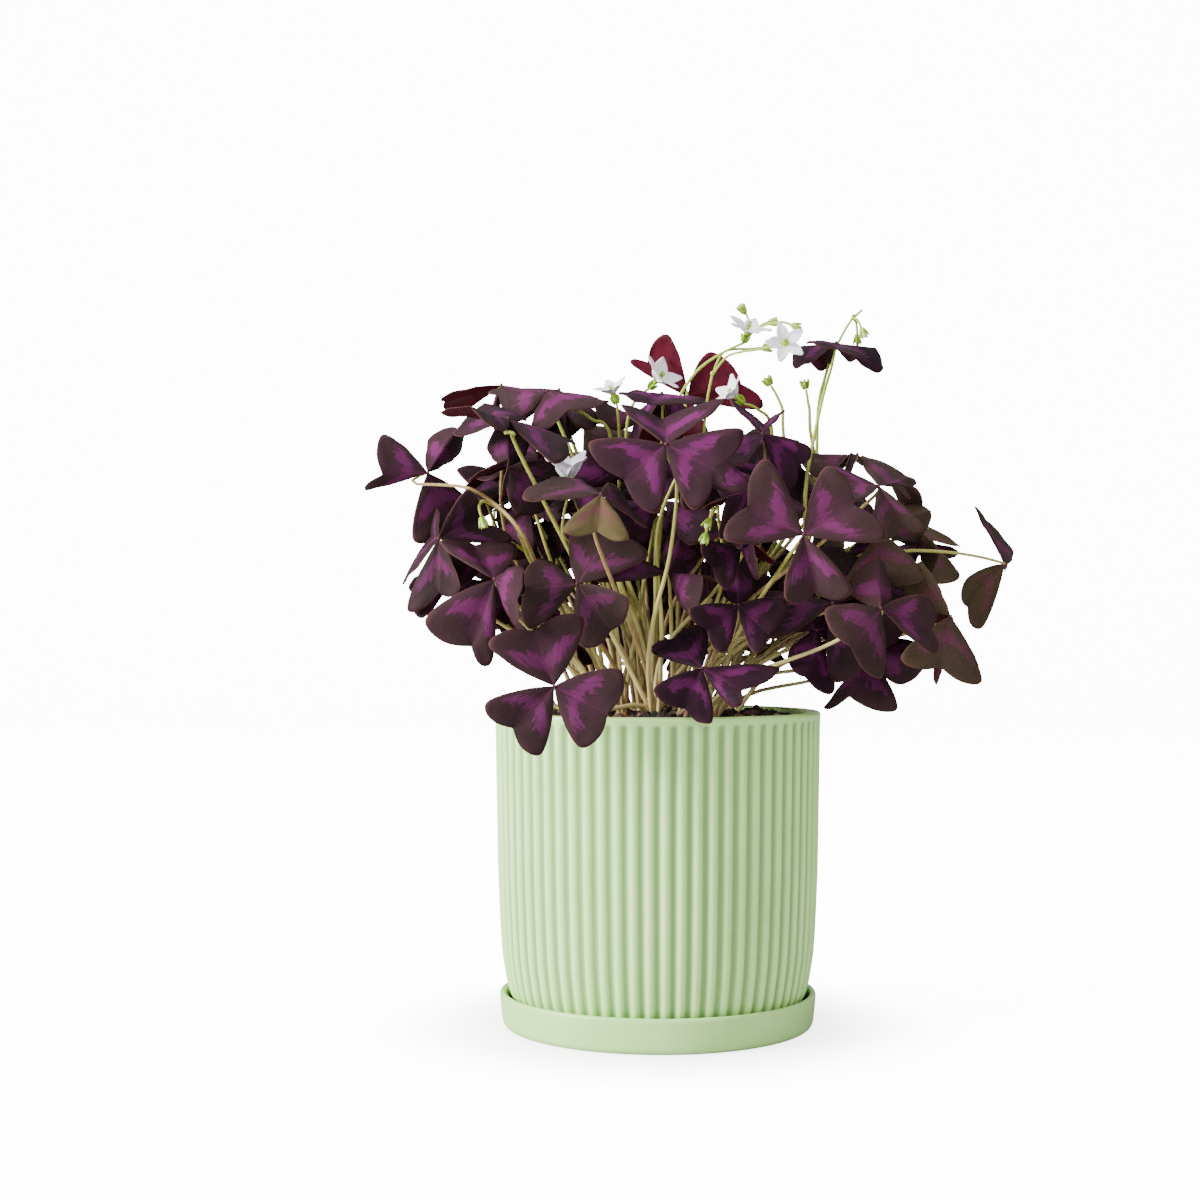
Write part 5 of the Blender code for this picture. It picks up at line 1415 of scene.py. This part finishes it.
# How far the saucer's glaze is darkened evenly towards the green of the painted shade in the flutes
SAUCER_TONE = 0.42
FLUTE_STEPS = 12
LATHE_SIDES = 198

SOIL_TOP = 139.5 * MM
SOIL_CROWN = 142.0 * MM
SOIL_REACH = 70.3 * MM
SOIL_RADIUS = 70.2 * MM
SOIL_RINGS = 60
SOIL_SIDES = 160
# Rings below the soil's edge: part of its radius, and height in millimetres
SOIL_UNDERSIDE = ((0.998, 134.0), (0.985, 100.0), (0.93, 30.0), (0.80, 11.4), (0.01, 11.3))
# The soil's waves: how many, the first one's radians to a metre and height, and how the next ones
# grow shorter
WAVES = 46
FIRST_WAVE = 110.0
WAVE_HEIGHT = 0.75 * MM
WAVE_STEP = 1.075
STREWN = 69 * MM
CRUMBS = 620
CHIPS = 110

BULB_TOPS = (142.5, 145.5)
BULB_RADIUS = 6.0 * MM
BULB_HALF_HEIGHT = 8.0 * MM


def fine_profile(profile, steps):
    """steps places to a span on the smooth curve through a profile, in metres."""
    profile = np.array(profile, float)
    return curve_through(profile, (len(profile) - 1) * steps + 1) * MM


def make_pot():
    """The profile swept round and joined to its own start, with 66 flutes: its depth times
    ((1 - cos 66 turn) / 2)^1.2 comes off the radius."""
    build = Build(("groove", "recess"))
    profile = fine_profile(POT_PROFILE, 2)
    sides = RIBS * FLUTE_STEPS
    turn = np.linspace(0, math.tau, sides, endpoint=False)
    flute = (0.5 - 0.5 * np.cos(turn * RIBS)) ** 1.2
    rings = swept(profile[:, 0], profile[:, 1], sides)
    out = rings[..., :2] / np.linalg.norm(rings[..., :2], axis=-1, keepdims=True)
    rings[..., :2] -= out * (np.maximum(profile[:, 2], 0)[:, None] * flute)[..., None]
    rows = len(profile)
    last = np.arange(sides) + (rows - 1) * sides
    ring = np.arange(sides)
    join = np.stack((last, np.roll(last, -1), np.roll(ring, -1), ring), axis=-1)
    # Painted shade: the glaze darkens in each flute with its depth
    groove = np.clip(profile[:, 2] / MM, 0, 1)[:, None] * flute
    # Painted shadow on the foot where it stands in the saucer
    recess = np.clip((RECESS_SHADE_TOP - profile[:, 1]) / RECESS_SHADE_FADE, 0, 1)[:, None] * np.ones(sides)
    build.add(rings, [grid_quads(rows, sides, wrap=True), join],
              groove=groove.ravel(), recess=recess.ravel())
    return build.make("fluted_pot", [mint_glaze("pot_glaze")])


def make_saucer():
    """A plain dish with a nearly upright wall: its profile swept round."""
    build = Build(("groove", "recess"))
    profile = fine_profile(SAUCER_PROFILE, 4)
    # Painted shadow on the saucer's inner wall and floor; its underside and outer wall stay clear
    # of it
    recess = np.clip((RECESS_SHADE_TOP - profile[:, 1]) / RECESS_SHADE_FADE, 0, 1)
    recess[:int(profile[:, 1].argmax())] = 0
    recess = np.concatenate((np.repeat(recess, LATHE_SIDES), recess[[0, -1]]))
    rings = swept(profile[:, 0], profile[:, 1], LATHE_SIDES)
    add_skin(build, rings, groove=SAUCER_TONE, recess=recess)
    return build.make("saucer_dish", [mint_glaze("saucer_glaze")])


def rough_height(x, y, waves):
    """Height of uneven ground: a sum of plane sine waves of many lengths and headings."""
    return sum(size * np.sin(kx * x + ky * y + phase) for kx, ky, phase, size in waves)


def ground_waves(draw):
    """Plane sine waves with drawn headings and phases, each shorter than the last by a fixed
    factor and lower by its 0.75th power."""
    waves = []
    for index in range(WAVES):
        number = FIRST_WAVE * WAVE_STEP**index
        turn, phase = draw.uniform(0, math.tau), draw.uniform(0, math.tau)
        size = WAVE_HEIGHT * (FIRST_WAVE / number) ** 0.75
        waves.append((number * math.cos(turn), number * math.sin(turn), phase, size))
    return waves


def soil_level(x, y, waves):
    """Height of the soil: a low dome with waves that fade out at the pot's wall."""
    out = np.hypot(x, y) / SOIL_REACH
    dome = SOIL_TOP + (SOIL_CROWN - SOIL_TOP) * (1.0 - out**2)
    return dome + rough_height(x, y, waves) * np.clip(2.6 * (1 - out) + 0.35, 0, 1)


def make_soil(draw):
    """A disc of uneven soil whose edge turns down inside the pot, strewn with crumbs and chips of
    bark. A crumb is a ball whose points are pushed in and out by sines."""
    build = Build(("shade",))
    waves = ground_waves(draw)
    below = np.array(SOIL_UNDERSIDE)
    out = np.concatenate((np.linspace(0.01, 1, SOIL_RINGS), below[:, 0]))
    rings = swept(SOIL_RADIUS * out, np.zeros(len(out)), SOIL_SIDES)
    rings[..., 2] = soil_level(rings[..., 0], rings[..., 1], waves)
    rings[SOIL_RINGS:, :, 2] = below[:, 1:] * MM
    add_skin(build, rings[::-1])
    for number in range(CRUMBS + CHIPS):
        chip = number >= CRUMBS
        out, turn = STREWN * math.sqrt(draw.random()), draw.uniform(0, math.tau)
        spot = np.array((out * math.cos(turn), out * math.sin(turn)))
        size = (draw.uniform(1.0, 1.9) if chip else draw.uniform(0.5, 1.7)) * MM
        level = float(soil_level(spot[0], spot[1], waves)) + size * 0.25
        heading = np.array([draw.gauss(0, 1), draw.gauss(0, 1), draw.gauss(0, 0.3)])
        stretch = draw.uniform(1.8, 3.4) if chip else draw.uniform(0.8, 1.3)
        add_ball(build, np.array((*spot, level)), size, int(chip), 5, 7, stretch, heading,
                 flat=0.45 if chip else 0.8, lumps=draw.uniform(0, 9), shade=draw.random())
    return build.make("potting_soil", [earth(), bark()])


def make_bulbs(draw):
    """Brown bulbs, most of each sunk in the soil: upright lumpy eggs."""
    build = Build(("shade",))
    for place in bulb_places():
        top = draw.uniform(*BULB_TOPS) * MM
        centre = np.array((*place, top - BULB_HALF_HEIGHT))
        add_ball(build, centre, BULB_RADIUS, 0, 10, 14, 1.33, (0, 0, 1), lumps=draw.uniform(0, 9),
                 shade=draw.random())
    return build.make("bulbs", [bark()])


def settled_lobes(leaf, number):
    """A leaf's lobes, some of them drooping more than their solid does: a lobe turns from its
    heading towards the leaf's underside."""
    if number in LEAF_LOOKS:
        return leaf_lobes(LEAF_LOOKS[number], leaf.hub)
    lobes = list(leaf.lobes)
    for index, angle in LEAF_DROOPS.get(number, {}).items():
        axis = unit(np.cross(lobes[index][1], -leaf.upper))
        lobes[index] = tuple(turned(way, axis, math.radians(angle)) for way in lobes[index])
    return lobes


def make_leaves(name, leaves, numbers, draw, materials):
    """A piece of one or more leaves, which are numbered as in LEAVES. Those of the sprays and deep
    in the clump have no number above 0, and are painted darker as shade of the clump."""
    build = Build(LEAF_VALUES)
    for leaf, number in zip(leaves, numbers):
        lightest = 1.0 if number > 0 else DEEP_SHADE_LIGHTEST
        shade = LEAF_SHADES.get(number, draw.uniform(0.0, lightest))
        browns = LEAF_BROWNS.get(number, (draw.uniform(0, 0.25) ** 1.5,) * 3)
        ripple = LEAF_RIPPLES.get(number, PLAIN_RIPPLE)
        add_leaf(build, leaf.hub, settled_lobes(leaf, number), draw, ripple, browns, shade)
    return build.make(name, materials)


def covers(tree, points):
    """Whether any of the points is hidden from the eye by the tree."""
    eye = Vector(EYE)
    for point in points:
        way = Vector(point) - eye
        if tree.ray_cast(eye, way, way.length)[0] is not None:
            return True
    return False


def filler_leaf(place, trees, shown, draw):
    """A leaf deep in the clump that covers a picture place seen through a gap of those in front,
    and its search tree. It faces forwards and up, and is tried ever further back and at other
    turns, and ever smaller, until it touches nothing and hides none of the shown points."""
    u, v = place
    ray = Vector(sight_ray(u, v))
    for count in range(INNER_TRIES):
        deep = INNER_NEAREST + INNER_DEPTH * count / INNER_TRIES
        deep = (deep + draw.uniform(-INNER_STRAY, INNER_STRAY)) * MM
        aside = [draw.uniform(-INNER_ASIDE, INNER_ASIDE) for _ in range(2)]
        hub = sight_point(u + aside[0], v + aside[1], deep)
        facing = draw.uniform(-0.7, 0.7), -draw.uniform(0.5, 1.5), draw.uniform(0.3, 1.2)
        upper = unit(np.array(facing))
        heading = unit(np.cross(upper, (draw.uniform(-1, 1), draw.uniform(-1, 1), 0.2)))
        side = draw.uniform(*INNER_SIDES) * (1 - INNER_SHRINK * count / INNER_TRIES) * MM
        lobes = []
        for turn in range(3):
            along = turned(heading, upper, turn * math.tau / 3)
            lobes.append(open_leaflet(along - draw.uniform(0.0, 0.5) * upper, upper, side))
        leaf = placed(hub, lobes, LEAFLET)
        tree = tree_of(*leaf.solid(INNER_GAP, BLADE))
        if tree.ray_cast(Vector(EYE), ray)[0] is None:
            continue
        if not any(tree.overlap(other) for other in trees) and not covers(tree, shown):
            return leaf, tree
    return None, None


def add_end(build, stalk, kind, heading, draw):
    """What a stem ends in. A calyx or a pod is an egg with five pointed sepals round its foot, a
    bud a slim egg with a paler tip, a knot a small egg."""
    length, radius = STEM_ENDS[kind]
    foot = stalk.path[-1]
    middle = foot + heading * length * 0.45
    add_ball(build, middle, radius * (0.75 if kind in ("calyx", "pod") else 0.85),
             1 if kind in ("calyx", "pod") else 3, 8, 10, 0.55 * length / radius, heading)
    if kind == "bud":
        add_ball(build, foot + heading * length * 0.72, radius * 0.8, 2, 8, 10, 1.5, heading)
    if kind in ("calyx", "pod", "bud"):
        side = unit(np.cross(heading, (0.3, 0.2, 0.9)))
        for sepal in range(5):
            out = turned(side, heading, sepal * math.tau / 5 + draw.uniform(-0.2, 0.2))
            way = unit(heading + 0.28 * out)
            centre = foot + heading * 0.1 * length + out * radius * 0.55 + way * length * 0.42
            add_ball(build, centre, radius * 0.42, 1, 6, 6, 0.5 * length / (radius * 0.42), way)


def make_stalks(petioles, stems, draw):
    """Round leaf stalks and flower stems on smooth curves through their knots."""
    build = Build(("shade",))
    for stalk, leaf in petioles:
        tip = leaf.hub - leaf.upper * LEAF_THICKNESS
        path = curve_through([*stalk.path[:-1], tip], 22)
        radii = np.interp(np.linspace(0, 1, 22), (0, 0.3, 1), (1.15, 0.95, 0.62)) * MM
        add_tube(build, path, radii, 9, 0, shade=draw.random())
    for stalk, kind, heading in stems:
        count = 5 * len(stalk.path)
        path = curve_through(stalk.path, count)
        radii = np.interp(np.linspace(0, 1, count), (0, 1), (stalk.radii[0], stalk.radii[-1]))
        add_tube(build, path, radii, 9, 0, shade=draw.uniform(0, 0.5))
        add_end(build, stalk, kind, heading, draw)
    return build.make("leaf_and_flower_stalks", [
        stalk_skin(), flower_green(), petal_skin("bud_skin"), flower_green("stem_knots")])


PETAL_ROWS = 16
PETAL_COLUMNS = 11
PETAL_THICKNESS = 0.22 * MM
# How much longer the petals are than those of their solids
PETAL_GAIN = 1.16
STAMENS = 10


def make_bloom(number, bloom, star, draw, materials):
    """Five petals round a green throat with ten fine stamens.

    At the part s of a petal's length and t from -1 to 1 across it, and in parts of its size, the
    half width is 0.235 (sin(2.75 s^0.85))^0.8 + 0.05 (1 - s) + 0.01. The place lies
    0.04 + 0.96 s - 0.16 t^2 s^2 along it, less 0.05 (1 - t^2)^4 s^6 for the notch at its end.
    The margins rise by 0.16 t^2 of the half width, the end curls outwards by
    0.10 s^4 (1 + 0.3 t^2), and two small sines wave it.
    """
    build = Build(("along", "across", "shade"))
    axis = unit(np.array(bloom.axis))
    size = bloom.size * PETAL_GAIN * MM
    s = np.linspace(0.0, 1.0, PETAL_ROWS)[:, None]
    t = np.linspace(-1.0, 1.0, PETAL_COLUMNS)[None, :]
    for first, tip, last in star.lobes:
        along, across = unit(tip), unit(last - first)
        upper = unit(np.cross(along, across)) * np.sign(np.cross(along, across) @ axis)
        half = 0.235 * np.sin(2.75 * s**0.85) ** 0.8 + 0.05 * (1 - s) + 0.01
        notch = 0.05 * (1 - t**2) ** 4 * s**6
        reach = 0.04 + 0.96 * s - 0.16 * t**2 * s**2 - notch
        wave = 0.018 * np.sin(9 * s + draw.uniform(0, 6)) * t + 0.012 * np.sin(5 * t + 7 * s)
        lift = 0.16 * half * t**2 - 0.10 * s**4 * (1 + 0.3 * t**2) + wave * s
        points = star.hub + size * (reach[..., None] * along + (half * t)[..., None] * across
                                    + lift[..., None] * upper)
        both, faces, _ = grid_slab(points, PETAL_THICKNESS)
        build.add(both, [faces], 0, along=np.tile((s * np.ones_like(t)).ravel(), 2),
                  across=np.tile((t * np.ones_like(s)).ravel(), 2), shade=draw.random())
    add_ball(build, star.hub - axis * 0.1 * MM, 1.5 * MM, 1, 6, 10, 1.2, axis)
    side = unit(np.cross(axis, (0.2, 0.1, 0.9)))
    for stamen in range(STAMENS):
        out = turned(side, axis, stamen * math.tau / STAMENS + 0.2)
        long = (0.42 if stamen % 2 else 0.30) * size
        top = star.hub + axis * long + out * 0.9 * MM
        middle = star.hub + axis * long * 0.6 + out * 0.5 * MM
        path = curve_through([star.hub + out * 0.4 * MM, middle, top], 5)
        add_tube(build, path, np.full(5, 0.13 * MM), 5, 1)
        add_ball(build, top, 0.4 * MM, 2, 4, 6, 1.5, axis)
    return build.make(f"flower_{number}", materials)


def make_studio():
    """Pale floor that sweeps up behind, soft window-like light from the left and front, fill from
    the right and above, and the camera."""
    build = Build()
    span = np.linspace(-5, 5, 41)
    bend = np.linspace(0.1, math.pi / 2, 16)
    floor, wall = np.linspace(-3, 3, 31), np.linspace(1.8, 4.5, 8)
    run = np.concatenate((floor, 3 + BEND * np.sin(bend), np.full(len(wall), 3 + BEND)))
    rise = np.concatenate((np.zeros(len(floor)), BEND * (1 - np.cos(bend)), wall))
    points = np.stack(np.broadcast_arrays(span[None, :], run[:, None], rise[:, None]), axis=-1)
    build.add(points, [grid_quads(len(run), len(span))])
    build.make("paper_sweep", [studio_floor()])
    for name, place, size, power, colour in LAMPS:
        lamp = bpy.data.lights.new(name, "AREA")
        lamp.shape, lamp.size, lamp.energy, lamp.color = "DISK", size, power, colour
        holder = bpy.data.objects.new(name, lamp)
        holder.location = place
        aim = Vector(LIT_PLACE) - Vector(place)
        holder.rotation_euler = aim.to_track_quat("-Z", "Y").to_euler()
        bpy.context.scene.collection.objects.link(holder)
    world = bpy.data.worlds.new("studio_air")
    world.use_nodes = True
    world.node_tree.nodes["Background"].inputs[0].default_value = (1.0, 1.0, 1.0, 1.0)
    world.node_tree.nodes["Background"].inputs[1].default_value = AIR_LIGHT
    bpy.context.scene.world = world
    lens = bpy.data.cameras.new("photo_camera")
    lens.lens, lens.sensor_width = FOCAL_LENGTH, SENSOR
    lens.clip_start, lens.clip_end = 0.05, 50.0
    camera = bpy.data.objects.new("photo_camera", lens)
    camera.location = EYE
    camera.rotation_euler = (math.radians(CAMERA_PITCH), 0.0, math.radians(CAMERA_TURN))
    bpy.context.scene.collection.objects.link(camera)
    bpy.context.scene.camera = camera


# Differences between leaves, by their number in LEAVES from 1: how wavy the margin is, how light
# the upper face is, and how far each leaflet has turned brown-green
PLAIN_RIPPLE = 0.011
LEAF_RIPPLES = {31: 0.02, 32: 0.02, 24: 0.016, 4: 0.016}
# The lightest that leaves of the sprays and deep in the clump get: painted shade of the clump
DEEP_SHADE_LIGHTEST = 0.4
LEAF_SHADES = {38: 0.1, 1: 0.5, 2: 0.8, 3: 0.9, 31: 1.0, 17: 0.9, 40: 0.0, 41: 0.1, 42: 0.1}
LEAF_BROWNS = {
    4: (0.85, 0.15, 0.15), 5: (0.15, 0.15, 0.1), 9: (0.1, 0.2, 0.2), 12: (0.35, 0.35, 0.2),
    13: (0.6, 0.35, 0.35), 34: (0.2, 0.1, 0.2), 35: (0.5, 0.3, 0.5), 36: (0.55, 0.2, 0.5),
    37: (0.85, 0.6, 0.5), 38: (0.4, 0.4, 0.4),
}

# Leaves whose shown lower face is as dark as the upper one
DARK_BELOW = (35, 36)

# Leaflets that droop further than the rule gives, by leaf and leaflet, in degrees
LEAF_DROOPS = {
    16: {0: 22}, 24: {0: 50}, 25: {1: 50}, 26: {1: 25}, 31: {1: 55, 2: 55}, 32: {1: 15, 2: 38},
    33: {0: 60}, 34: {0: 30, 1: 25}, 13: {2: 75}, 39: {0: 30}, 15: {0: 25},
}

# Leaves whose shown leaflets are read anew
LEAF_LOOKS = {
    36: Leaf((1003, 564), 0, 30, (
        ((981, 627, 0), (966, 607, -0.2), (964, 580, 0)),
        ((1010, 550, 0.8), (985, 521, 0.3), (974, 510, 0)),
        ((1010, 560, 0.8), (1006, 563, 1), (1003, 572, 0.9)))),
}

# Picture places that leaves deep in the clump cover
INNER_PLACES = (
    (690, 570), (664, 600), (629, 567), (650, 545), (640, 605), (719, 559), (766, 602), (797, 614),
    (664, 528), (750, 493), (587, 602), (545, 515), (524, 540), (587, 540), (568, 505), (828, 500),
    (867, 602), (703, 454), (524, 454), (486, 540), (874, 517), (700, 612), (735, 610), (560, 455),
    (790, 560), (610, 470), (760, 455), (545, 575), (640, 500), (600, 500), (820, 590), (845, 560),
    (500, 580), (780, 520), (615, 640), (760, 640), (660, 640), (850, 640), (470, 560), (900, 560),
)
# Their tries: depths behind the pot's axis and sides in millimetres, places aside in the picture,
# and the part of its side that a leaf loses by the last try
INNER_TRIES = 420
INNER_NEAREST = -62
INNER_DEPTH = 110
INNER_STRAY = 6
INNER_ASIDE = 22
INNER_SIDES = (25, 32)
INNER_SHRINK = 0.45
INNER_GAP = 0.3 * MM
# Leaves further forward than this are never hidden by them
AHEAD = -26 * MM

# The paper: its bend's radius in metres, its glow, and how far and where a painted shadow dims it
BEND = 1.5
GLOW = 13.0
SHADE_START = 62 * MM
SHADE_END = 150 * MM
SHADE_DEPTH = 0.72

# The camera, in millimetres and degrees
FOCAL_LENGTH = 59.1
SENSOR = 36.0
CAMERA_PITCH = 90.785
CAMERA_TURN = 1.67

# The light of the air, what the lamps aim at, and lamps by place, size, power and colour
AIR_LIGHT = 0.62
LIT_PLACE = (0, 0, 0.15)
LAMPS = (
    ("left_window", (-2.45, -1.05, 1.25), 1.5, 276.0, (1.0, 0.99, 0.97)),
    ("front_fill", (0.9, -2.4, 1.0), 1.4, 26.0, (1.0, 1.0, 1.0)),
    ("top_light", (0.1, 0.3, 2.3), 1.6, 30.0, (1.0, 1.0, 1.0)),
)


def dress(piece, slot, *nodes):
    """The piece rides on the plant's one body and stands for its solids. slot is not used."""
    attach(piece, "root")
    if nodes:
        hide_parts(*nodes)


def shown_points(leaves, blooms, stalks, stems):
    """Points that no leaf deep in the clump may hide: the leaflets of leaves far enough forward,
    the flowers, the upper ways of the stalks that show, and the ends of the stems."""
    shown = []
    for leaf in leaves:
        if leaf.hub[1] < AHEAD:
            shown += [leaf.hub + tip * part for _, tip, _ in leaf.lobes for part in (0, 0.65)]
    shown += [star.hub for _, star in blooms]
    for own in SEEN_STALKS:
        shown += stalks[own].path[STALK_STEPS // 3:]
    for stem in stems:
        shown += stem.stalk.path[-3:]
    return shown


def main():
    draw = random.Random(SEED)
    pot, soil = node_solid("pot"), node_solid("soil")
    trees = map_trees([pot, soil])
    leaves = measured_leaves(LEAVES[:FRONT_LEAVES], trees)
    obstacles = Obstacles([*[leaf.solid() for leaf in leaves], pot, soil])
    stems, solids, blooms = flowers(obstacles, draw)
    trees += map_trees([*solids, *[star.solid() for _, star in blooms]])
    stalks = petioles(leaves, 0, obstacles, draw)
    trees += map_trees([tube_solid(*stalk, STALK_SIDES) for stalk in stalks])
    inner = measured_leaves(LEAVES[FRONT_LEAVES:], trees)
    first = len(obstacles.solids)
    obstacles.add(*[leaf.solid() for leaf in inner])
    stalks += petioles(inner, first, obstacles, draw)
    leaves += inner
    borne = list(zip(stalks, leaves))

    upper, under = leaf_upper(), leaf_under()
    for number, leaf in enumerate(leaves, 1):
        name = f"leaf_{number:02d}"
        finishes = [upper, upper if number in DARK_BELOW else under]
        piece = make_leaves("shamrock_" + name, [leaf], [number], random.Random(number), finishes)
        dress(piece, "leaf_purple", name)
    for number in range(1, 8):
        name = f"spray_{number}"
        members = spray_leaves(name)
        own = len(obstacles.solids)
        obstacles.add(node_solid(name))
        for leaf in members:
            tries = petiole_tries(leaf, (), draw, SPRAY_STALK_TRIES)
            borne.append((clearest(tries, obstacles, own), leaf))
        looks_draw = random.Random(100 + number)
        piece = make_leaves("shamrock_" + name, members, [0] * 3, looks_draw, [upper, under])
        dress(piece, "leaf_purple", name)
    tubes = [tube_solid(*stalk, STALK_SIDES) for stalk, _ in borne]
    trees = map_trees([*obstacles.solids, *tubes, *solids])
    shown = shown_points(leaves, blooms, stalks, stems)
    for number, place in enumerate(INNER_PLACES, 1):
        leaf, tree = filler_leaf(place, trees, shown, draw)
        if leaf is None:
            continue
        own = len(obstacles.solids)
        obstacles.add(leaf.solid())
        tries = petiole_tries(leaf, (), draw, SPRAY_STALK_TRIES)
        stalk = clearest(tries, obstacles, own)
        borne.append((stalk, leaf))
        trees += [tree, tree_of(*tube_solid(*stalk, STALK_SIDES))]
        piece = make_leaves(f"inner_leaf_{number:02d}", [leaf], [-number], draw, [upper, under])
        dress(piece, "leaf_purple")
    dress(make_stalks(borne, stems, draw), "stalk_green", "stalks")
    skins = [petal_skin(), flower_green("flower_throat"), flower_green("anthers")]
    for number, (bloom, star) in enumerate(blooms, 1):
        dress(make_bloom(number, bloom, star, draw, skins), "petal_white", f"bloom_{number}")
    dress(make_pot(), "pot_glaze", "pot")
    dress(make_saucer(), "saucer_glaze", "saucer")
    dress(make_soil(draw), "potting_soil", "soil")
    dress(make_bulbs(draw), "stalk_green")
    make_studio()


main()
